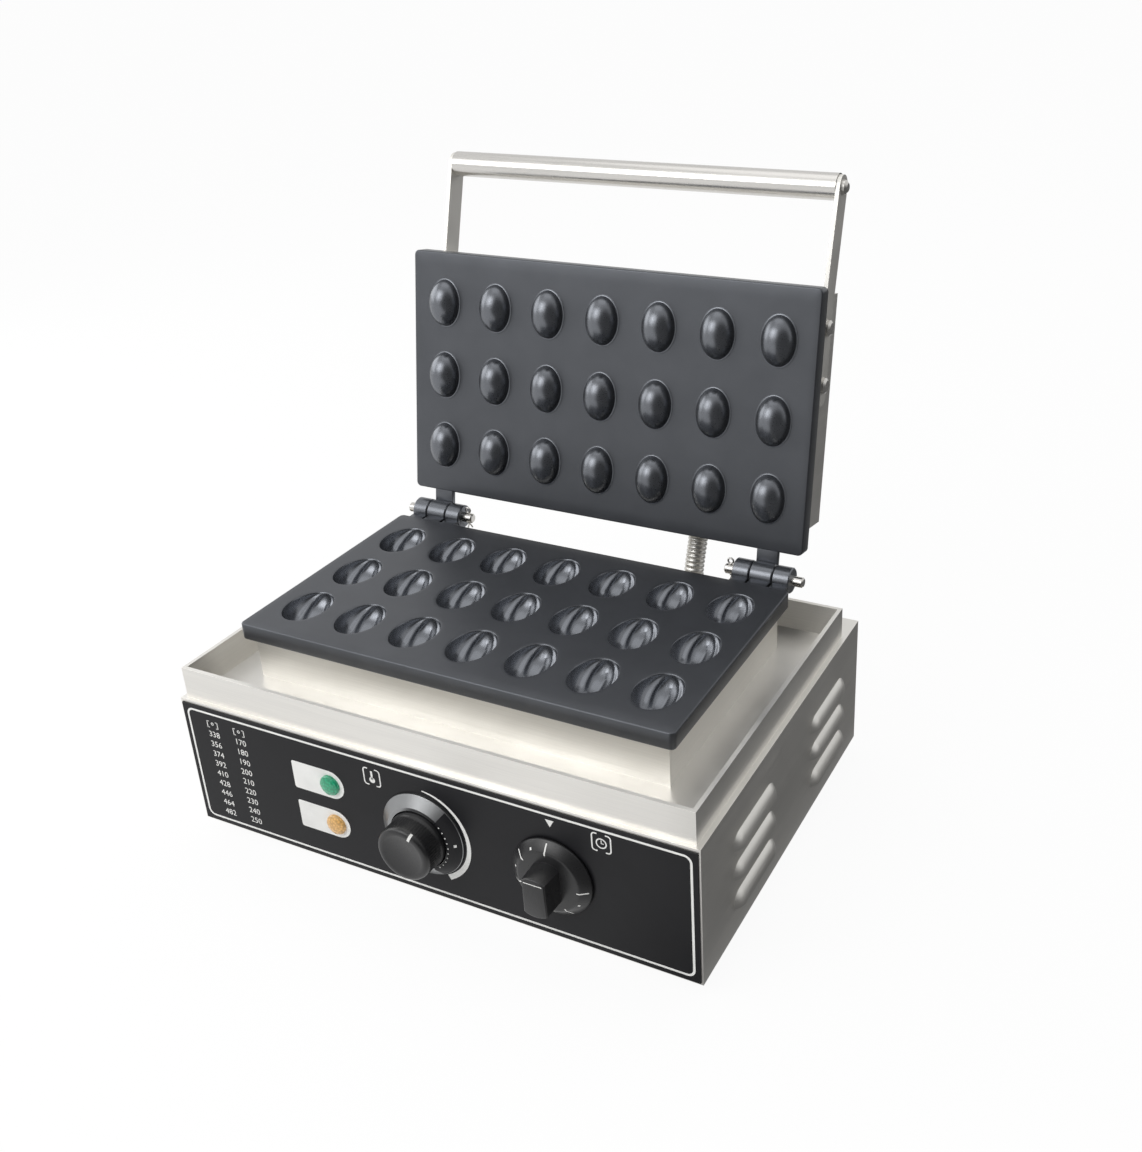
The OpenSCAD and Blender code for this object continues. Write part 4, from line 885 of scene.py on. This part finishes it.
def print_numbers(y, ink):
    """Two columns of temperatures, in one scale and the other, under bracketed degree signs."""
    table = Print("panel_numbers")
    first, step, height = 0.1030, 0.0088, 0.0050
    near, far, tall = 0.0030, 0.0048, 0.0027
    celsius = list(range(170, 260, 10))
    for x, values in ((-0.182, [round(c * 1.8 + 32) for c in celsius]), (-0.157, celsius)):
        for side in (-1, 1):
            bracket = ((near, tall), (far, tall), (far, -tall), (near, -tall))
            table.path([(x + side * out, first + up) for out, up in bracket], 0.0007)
        table.strip(*(arc_points(x, first + 0.0008, r, 0, 345, 23) for r in (0.0013, 0.0007)))
        for i, value in enumerate(values):
            table.number(str(value), x, first - step * (i + 1), height)
    table.lay(y, ink)


def print_tabs(y, ink):
    """Two plain white tabs behind the pilot lamps, round at the lamp's end."""
    tabs = Print("lamp_tabs")
    r, back, corner = 0.0118, 0.0335, 0.0018
    for lamp in LAMPS:
        tabs.area(rounded_outline(lamp.x - back, lamp.x + r, lamp.z - r, lamp.z + r,
                                  [r - 1e-5, corner, corner, r - 1e-5]))
    tabs.lay(y, ink)


def print_symbols(y, ink):
    """Thermometer and clock in open brackets, and the timer's marker."""
    signs = Print("panel_symbols")
    half, tip, r = 0.0068, 0.0030, 0.0022
    heat_x, clock_x = -0.038, 0.1415
    corner = arc_points(half - r, half - r, r, 90, 0, 5)
    bracket = [(tip, half)] + corner + [(x, -z) for x, z in reversed(corner)] + [(tip, -half)]
    for cx, cz in ((heat_x, 0.0995), (clock_x, 0.1025)):
        for side in (-1, 1):
            signs.path([(cx + side * x, cz + z) for x, z in bracket], 0.0010)
    signs.area([(heat_x + x, 0.0970 + z) for x, z in arc_points(0, 0, 0.0024, 120, 420, 20)])
    signs.path([(heat_x, 0.0975), (heat_x, 0.1045)], 0.0017)
    clock_z = 0.1022
    signs.strip(*(arc_points(clock_x, clock_z, radius, 0, 350, 35) for radius in (0.0040, 0.0031)))
    signs.path([(clock_x, clock_z + 0.0026), (clock_x, clock_z), (clock_x + 0.0018, clock_z)], 0.0007)
    signs.area([(TIMER.x - 0.0032, 0.1085), (TIMER.x + 0.0032, 0.1085), (TIMER.x, 0.1028)])
    signs.lay(y, ink)


def print_wedge(y, ink):
    """Wedge shaped scale round the thermostat, thin at the top and thick at its end."""
    wedge = Print("thermostat_wedge")
    steps = 60
    points = arc_points(THERMOSTAT.x, THERMOSTAT.z, 0.0366, 86, -62, steps)
    wedge.path(points, *(0.0010 + 0.0034 * (i / steps) ** 0.8 for i in range(steps + 1)))
    wedge.lay(y, ink)


# Knobs

def knob_place(centre):
    """Local Z out of the panel, local Y up."""
    return Matrix.Translation((centre.x, PANEL_Y, centre.z)) @ Matrix.Rotation(math.pi / 2, 4, "X")


def thermostat_knob_piece(material):
    """Round knob: a plain foot, a fluted barrel and a dished face."""
    bm = bmesh.new()
    flutes, depth = 64, 0.00025

    def cut(angle, height):
        return depth * abs(math.sin(flutes * angle / 2)) if 0.0110 < height < 0.0220 else 0.0

    profile = KNOB_FOOT + [(0.0218, 0.0008), (0.0220, 0.0012), (0.0220, 0.0090), (0.0217, 0.0101), (0.0213, 0.0107),
                           (0.0212, 0.0123), (0.0211, 0.0212), (0.0209, 0.0230), (0.0204, 0.0246), (0.0192, 0.0256),
                           (0.0177, KNOB_TOP), (0.0155, 0.0257), (0.0143, 0.0250), (0.0, 0.0249)]
    lathe(bm, profile, knob_place(THERMOSTAT), 4 * flutes, cut)
    piece("fluted_thermostat_knob", bm, material, "thermostat_dial", "knob_black", "thermostat_knob",
          smooth=40.0, closed=True)


def thermostat_index(ink, lift):
    """White index line over the thermostat knob's shoulder, a little right of the top."""
    bm = bmesh.new()
    place = knob_place(THERMOSTAT) @ Matrix.Rotation(math.radians(-25.0), 4, "Z")
    line = [(0.0209 + lift, 0.0230), (0.0204 + lift, 0.0246 + lift), (0.0192, 0.0256 + 1.5 * lift),
            (0.0177, KNOB_TOP + lift), (0.0157, 0.0257 + lift)]
    ribbon(bm, [[bm.verts.new(place @ Vector((x, r, h))) for x in (-0.0010, 0.0010)] for r, h in line])
    piece("thermostat_index", bm, ink, "thermostat_dial", None, smooth=60.0)


def grip_outline(half_w, radius, height):
    """Outline of a bar cut from a disc: straight flanks, round ends."""
    edge = math.degrees(math.asin(half_w / radius))
    return [Vector((x, y, height)) for middle in (90, 270)
            for x, y in arc_points(0.0, 0.0, radius, middle - edge, middle + edge, 8)]


def timer_knob_piece(material):
    """Skirted knob with a tapered grip across its middle."""
    bm = bmesh.new()
    place = knob_place(TIMER)
    profile = KNOB_FOOT + [(0.0297, 0.0008), (0.0300, 0.0012), (0.0300, 0.0022), (0.0296, 0.0028),
                           (SKIRT_EDGE, SKIRT_EDGE_TOP), (0.0232, 0.0079), (0.0220, SKIRT_TOP), (0.0, SKIRT_TOP)]
    lathe(bm, profile, place, 96)
    levels = [(0.0095, 0.0159, 0.0070), (0.0095, 0.0159, 0.0088), (0.0093, 0.0158, 0.0110), (0.0086, 0.0156, 0.0240),
              (0.0084, 0.0153, 0.0251), (0.0079, 0.0148, 0.0257), (0.0072, 0.0141, KNOB_TOP)]
    loft(bm, [[place @ p for p in grip_outline(*level)] for level in levels])
    piece("wedge_timer_knob", bm, material, "timer_dial", "knob_black", "timer_knob", smooth=38.0, closed=True)


def timer_index(ink, lift):
    """White line across the upper end of the timer's grip: a painted highlight of the grip's rounded top edge, laid on
    as print.
    """
    bm = bmesh.new()
    place = knob_place(TIMER)
    corners = ((-0.0068, 0.0114), (0.0068, 0.0114), (0.0068, 0.0121), (-0.0068, 0.0121))
    bm.faces.new([bm.verts.new(place @ Vector((x, y, KNOB_TOP + lift))) for x, y in corners])
    piece("timer_index", bm, ink, "timer_dial", None)


def bezel_band(black, lift):
    """Black sector of the thermostat's bezel, which carries its white dots."""
    bm = bmesh.new()
    place = knob_place(THERMOSTAT)
    first, sweep, steps = 50.0, 114.0, 40
    track = [(r, BEZEL_TOP - max(r - BEZEL_EDGE, 0.0) * BEZEL_SLOPE + lift) for r in (0.0231, BEZEL_EDGE, 0.0327)]
    turn = [math.radians(first - sweep * i / steps) for i in range(steps + 1)]
    ribbon(bm, [[bm.verts.new(on_turn(place, r, a, height)) for r, height in track] for a in turn])
    piece("bezel_band", bm, black, "base", None, smooth=40.0)


def dial_marks(name, made, centre, track, width, count, first, sweep, body, ink):
    """Marks round a dial; track is the line of radius and height that each one lies on, from inside to outside."""
    bm = bmesh.new()
    start = track[0][0]
    ribbon(bm, [[bm.verts.new((r - start, side * width / 2, h)) for side in (-1, 1)] for r, h in track])
    mark = add_object(name + "_mark", new_mesh(name + "_mark", bm))
    mesh = grown(name, made, Mark=mark, Count=count, Radius=start, First=math.radians(first),
                 Sweep=math.radians(sweep), Surface=ink)
    bpy.data.objects.remove(mark)
    mesh.transform(knob_place(centre))
    settle(add_object(name, mesh, ink), body, None)


# Hose between the housing and the lid

def hose_route():
    """Points from inside the rear ledge to inside the lid cover, straight at both ends."""
    foot = Vector((HOSE_FOOT.x, HOSE_FOOT.y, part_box("conduit_gland_lower")[0].z - SHEET - HOSE_IN))
    cover_rear = PLATE_MID + PLATE_DEPTH / 2 - COVER_INSET
    head = LID_POSE @ Vector((HOSE_FOOT.x, cover_rear - SHEET - HOSE_IN, UPPER_FACE + HOSE_LIFT))
    up = Vector((0, 0, 1))
    end = (LID_POSE.to_3x3() @ Vector((0, -1, 0))).normalized()
    straight = HOSE_IN + SHEET + HOSE_D
    low, high = foot + straight * up, head - straight * end
    reach = (high - low).length / 3
    a, b, c, d = low, low + reach * up, high - reach * end, high
    steps = 24
    bend = []
    for t in (i / steps for i in range(steps + 1)):
        bend.append((1 - t) ** 3 * a + 3 * (1 - t) ** 2 * t * b + 3 * (1 - t) * t * t * c + t ** 3 * d)
    return [foot] + bend + [head], low, high


def hose_piece(sizes, material):
    """Ribbed metal hose in one length, which bends between the housing and the lid."""
    points, low, high = hose_route()
    curve = bpy.data.curves.new("hose_line", "CURVE")
    curve.dimensions = "3D"
    spline = curve.splines.new("POLY")
    spline.points.add(len(points) - 1)
    for knot, p in zip(spline.points, points):
        knot.co = (*p, 1.0)
    mesh = grown("ribbed_hose", ribbed_hose_tree(), curve, Radius=HOSE_D / 2, Rib_Step=sizes.rib_step,
                 Rib_Depth=sizes.rib_depth, Surface=material)
    soften(mesh, 60)
    obj = add_object("ribbed_hose", mesh, material)
    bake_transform(obj, "base", "lid", start=low, end=high)
    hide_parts("conduit")


# Screws with a cross recess

def cross_screw(shank):
    """Pan head screw with a cross recess, its head above z = 0."""
    bm = bmesh.new()
    d = SCREW_D
    lathe(bm, [(0.0, -shank), (d / 2, -shank), (d / 2, 0.0), (d, 0.0), (d, 0.2 * d), (0.97 * d, 0.35 * d),
               (0.85 * d, 0.50 * d), (0.62 * d, 0.60 * d)], Matrix(), 32)
    rim = [e for e in bm.edges if e.is_boundary]
    long, half, top, pit = 0.45 * d, 0.11 * d, 0.60 * d, 0.30 * d
    plan = []
    for k in range(4):
        turn = Matrix.Rotation(k * math.pi / 2, 2)
        plan += [turn @ Vector(p) for p in ((half, half), (half, long), (-half, long))]
    upper, lower = ([bm.verts.new((*p, z)) for p in plan] for z in (top, pit))
    after = upper[1:] + upper[:1]
    cross = [bm.edges.new(pair) for pair in zip(upper, after)]
    for wall in zip(after, upper, lower, lower[1:] + lower[:1]):
        bm.faces.new(wall)
    bm.faces.new(lower)
    bmesh.ops.triangle_fill(bm, edges=rim + cross, use_beauty=True)
    return add_object("cross_screw", new_mesh("cross_screw", bm, closed=True))


def screw_axes(low, high):
    """Axes of the first and the last screw in a span that their heads fill."""
    return low + SCREW_D, high - SCREW_D


def screw_group(name, made, points, turn, shank, body, node, material):
    """Screws at several places, all turned the same way."""
    shape = cross_screw(shank)
    start = bpy.data.meshes.new(name + "_places")
    start.from_pydata([tuple(p) for p in points], [], [])
    mesh = grown(name, made, start, Shape=shape, Turn=turn.to_euler(), Surface=material)
    bpy.data.objects.remove(shape)
    soften(mesh, 35)
    settle(add_object(name, mesh, material), body, "fastener_steel", node)


# Stage

def paper_floor():
    """Pale floor that keeps the object's shadow; white to the camera, darker to the right in reflections."""
    made = Finish("paper_floor", Roughness=0.9, Specular_IOR_Level=0.1, Base_Color=(0.86, 0.86, 0.86, 1.0))
    tree = made.tree
    glow, seen, mix, place, apart = new_nodes(tree, "ShaderNode", "Emission", "LightPath", "MixShader", "TexCoord",
                                              "SeparateXYZ")
    preset(glow, Color=WHITE)
    camera, mirrored = seen.outputs["Is Camera Ray"], seen.outputs["Is Glossy Ray"]
    flagged = map_range(tree, apart.outputs["X"], 0.12, 0.23, 1.0, 0.09)
    level = math_node(tree, "ADD", camera, math_node(tree, "MULTIPLY", mirrored, flagged))
    both = math_node(tree, "MULTIPLY", math_node(tree, "ADD", camera, mirrored), 0.93)
    wire(tree, (place.outputs["Object"], apart.inputs[0]), (level, glow.inputs["Strength"]),
         (both, mix.inputs["Fac"]), (made.shader.outputs[0], mix.inputs[1]), (glow.outputs[0], mix.inputs[2]),
         (mix.outputs[0], tree.nodes["Material Output"].inputs["Surface"]))
    return made.material


def studio_world():
    """White to the camera; a soft grey light, dark at the front right, for everything else."""
    world = bpy.data.worlds.new("studio")
    world.use_nodes = True
    tree = world.node_tree
    light = preset(tree.nodes["Background"], Color=WHITE)
    seen, white, mix, place, apart = new_nodes(tree, "ShaderNode", "LightPath", "Background", "MixShader", "TexCoord",
                                               "SeparateXYZ")
    preset(white, Color=WHITE)
    front_right = math_node(tree, "SUBTRACT", apart.outputs["X"], apart.outputs["Y"])
    wire(tree, (place.outputs["Generated"], apart.inputs[0]),
         (map_range(tree, front_right, 0.75, 1.15, 0.84, 0.10), light.inputs["Strength"]),
         (seen.outputs["Is Camera Ray"], mix.inputs["Fac"]), (light.outputs[0], mix.inputs[1]),
         (white.outputs[0], mix.inputs[2]), (mix.outputs[0], tree.nodes["World Output"].inputs["Surface"]))
    bpy.context.scene.world = world


def soft_lamp(name, place, aim, size, power):
    """Rectangular soft lamp that points at a place."""
    data = bpy.data.lights.new(name, "AREA")
    data.shape = "RECTANGLE"
    data.size, data.size_y = size
    data.energy = power
    lamp = bpy.data.objects.new(name, data)
    lamp.location = place
    lamp.rotation_euler = (Vector(aim) - Vector(place)).to_track_quat("-Z", "Y").to_euler()
    bpy.context.scene.collection.objects.link(lamp)


def photo_camera():
    """Camera at the photograph's viewing point; the picture is 1142 by 1152."""
    width, height = 1142.0, 1152.0
    focus, centre_x, centre_y = 1316.17, 645.33, 524.04
    turn = Vector((1.9885, 0.4453, -0.3304))
    right, down, ahead = Matrix.Rotation(turn.length, 3, turn.normalized())
    data = bpy.data.cameras.new("photo_camera")
    data.sensor_width = 36.0
    data.lens = focus / height * data.sensor_width
    data.shift_x = (width / 2 - centre_x) / height
    data.shift_y = (centre_y - height / 2) / height
    camera = bpy.data.objects.new("photo_camera", data)
    pose = Matrix((right, -down, -ahead)).transposed().to_4x4()
    camera.matrix_world = Matrix.Translation((0.47884, -0.73703, 0.64355)) @ pose
    bpy.context.scene.collection.objects.link(camera)
    bpy.context.scene.camera = camera


# Operators

class MAKER_OT_finishes(bpy.types.Operator):
    """Gives every solid its finish"""
    bl_idname = "maker.finishes"
    bl_label = "Finishes"

    def execute(self, context):
        for group in (brushed_group, grain_group, edge_group, smear_group):
            group()
        for part in frame["record"]["subparts"]:
            mesh = NODES[part["node"]].data
            mesh.materials.clear()
            mesh.materials.append(finish_for(part["material_slot"]))
        return {"FINISHED"}


class MAKER_OT_mould_plates(bpy.types.Operator):
    """Makes the lower plate with its walnut cavities and the upper plate with its domes"""
    bl_idname = "maker.mould_plates"
    bl_label = "Mould plates"

    def execute(self, context):
        made = mould_field_tree()
        for plate in (lower_plate_piece, upper_plate_piece):
            plate(context.scene.maker_sizes, made, finish_for("mould_coating"))
        return {"FINISHED"}


class MAKER_OT_panel_print(bpy.types.Operator):
    """Lays the white print on the control panel"""
    bl_idname = "maker.panel_print"
    bl_label = "Panel print"

    def execute(self, context):
        sizes = context.scene.maker_sizes
        ink = finish_for("print_white")
        y = PANEL_Y - sizes.print_lift
        print_frame(sizes, y, ink)
        for lay_print in (print_numbers, print_tabs, print_symbols, print_wedge):
            lay_print(y, ink)
        return {"FINISHED"}


class MAKER_OT_knobs(bpy.types.Operator):
    """Makes both knobs and the marks on their dials"""
    bl_idname = "maker.knobs"
    bl_label = "Knobs"

    def execute(self, context):
        lift = context.scene.maker_sizes.print_lift
        black, ink = finish_for("knob_black"), finish_for("print_white")
        thermostat_knob_piece(black)
        thermostat_index(ink, lift)
        timer_knob_piece(black)
        # White painted highlight across the end of the timer's grip
        timer_index(ink, lift)
        bezel_band(finish_for("panel_black"), lift)
        rise = 1.6 * lift
        on_bezel = [(r, BEZEL_TOP + 2 * rise) for r in (0.0240, 0.0250)]
        at_spot = [(r, BEZEL_TOP - (r - BEZEL_EDGE) * BEZEL_SLOPE + 2 * rise) for r in (0.0282, 0.0298)]
        slope = [(r, SKIRT_EDGE_TOP - (r - SKIRT_EDGE) * SKIRT_SLOPE + rise) for r in (0.0246, 0.0260, 0.0284)]
        over_skirt = [(0.0214, SKIRT_TOP + rise), (0.0220, SKIRT_TOP + rise), (0.0232, 0.0079 + rise),
                      (SKIRT_EDGE, SKIRT_EDGE_TOP + rise), slope[2]]
        made = dial_mark_tree()
        dial_marks("bezel_spot", made, THERMOSTAT, at_spot, 0.0016, 2, 4, -1, "base", ink)
        dial_marks("bezel_dots", made, THERMOSTAT, on_bezel, 0.0010, 10, 40, -90, "base", ink)
        dial_marks("timer_lines", made, TIMER, over_skirt, 0.0010, 6, 92, 263, "timer_dial", ink)
        dial_marks("timer_dots", made, TIMER, slope[:2], 0.0014, 5, 118.3, 210.4, "timer_dial", ink)
        return {"FINISHED"}


class MAKER_OT_hose(bpy.types.Operator):
    """Makes the ribbed hose from the housing to the lid"""
    bl_idname = "maker.hose"
    bl_label = "Ribbed hose"

    def execute(self, context):
        hose_piece(context.scene.maker_sizes, finish_for("conduit_steel"))
        return {"FINISHED"}


class MAKER_OT_screws(bpy.types.Operator):
    """Makes the cross recess screws at the back, on the lid and underneath"""
    bl_idname = "maker.screws"
    bl_label = "Screws"

    def execute(self, context):
        made = fastener_tree()
        steel = finish_for("fastener_steel")
        low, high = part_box("rear_screws")
        bottom, top = screw_axes(low.z, high.z)
        rear = [(x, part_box("rear_panel")[1].y, z) for x in screw_axes(low.x, high.x)
                for z in (bottom, (low.z + high.z) / 2, top)]
        screw_group("rear_cross_screws", made, rear, Matrix.Rotation(-math.pi / 2, 3, "X"), 0.0074, "base",
                    "rear_screws", steel)
        posts = [LID_POSE @ Vector((sx * POST_X, PLATE_MID + sy * POST_Y, COVER_TOP)) for sx in (-1, 1)
                 for sy in (-1, 1)]
        screw_group("cover_cross_screws", made, posts, LID_POSE.to_3x3(), 0.012, "lid", "cover_screws", steel)
        for node, shank in (("base_screws", 0.0074), ("foot_screws", 0.0102)):
            low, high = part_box(node)
            under = [(x, y, low.z + 0.6 * SCREW_D) for x in screw_axes(low.x, high.x)
                     for y in screw_axes(low.y, high.y)]
            screw_group(node.replace("screws", "cross_screws"), made, under, Matrix.Rotation(math.pi, 3, "X"), shank,
                        "base", node, steel)
        return {"FINISHED"}


class MAKER_OT_stage(bpy.types.Operator):
    """Sets up the floor, the light and the camera"""
    bl_idname = "maker.stage"
    bl_label = "Stage"

    def execute(self, context):
        bm = bmesh.new()
        bmesh.ops.create_grid(bm, x_segments=1, y_segments=1, size=12.0)
        floor = add_object("floor", new_mesh("floor", bm), paper_floor())
        floor.data.transform(Matrix.Translation((0, 0, -0.0005)))
        studio_world()
        soft_lamp("key", (-1.5, -0.05, 0.85), (0, 0, 0.20), (1.4, 1.0), 8.0)
        soft_lamp("fill", (-0.86, -1.15, 1.20), (0, 0, 0.20), (0.9, 0.9), 5.3)
        soft_lamp("front", (-0.35, -1.35, 1.4), (0, 0.05, 0.25), (1.0, 1.0), 6.2)
        soft_lamp("top", (-0.1, 0.3, 2.2), (0, 0, 0.15), (1.6, 1.4), 4.0)
        photo_camera()
        context.scene.view_settings.view_transform = "Standard"
        return {"FINISHED"}


class MAKER_PT_panel(bpy.types.Panel):
    """Lists the steps that dress the cookie maker"""
    bl_label = "Cookie Maker"
    bl_idname = "MAKER_PT_panel"
    bl_space_type = "VIEW_3D"
    bl_region_type = "UI"
    bl_category = "Cookie Maker"

    def draw(self, context):
        for step in STEPS:
            self.layout.operator(step.bl_idname)
        for group in (context.scene.maker_sizes, context.scene.maker_colours):
            for key in type(group).__annotations__:
                self.layout.prop(group, key)


STEPS = (MAKER_OT_finishes, MAKER_OT_mould_plates, MAKER_OT_panel_print, MAKER_OT_knobs, MAKER_OT_hose,
         MAKER_OT_screws, MAKER_OT_stage)
CLASSES = (MakerSizes, MakerColours, *STEPS, MAKER_PT_panel)


def register():
    """Makes the classes known to Blender."""
    for cls in CLASSES:
        bpy.utils.register_class(cls)
    bpy.types.Scene.maker_sizes = PointerProperty(type=MakerSizes)
    bpy.types.Scene.maker_colours = PointerProperty(type=MakerColours)


def unregister():
    """Takes the classes out again."""
    del bpy.types.Scene.maker_sizes
    del bpy.types.Scene.maker_colours
    for cls in reversed(CLASSES):
        bpy.utils.unregister_class(cls)


def main():
    """Dresses the part step by step."""
    register()
    for step in STEPS:
        family, name = step.bl_idname.split(".")
        getattr(getattr(bpy.ops, family), name)()


if __name__ == "__main__":
    main()
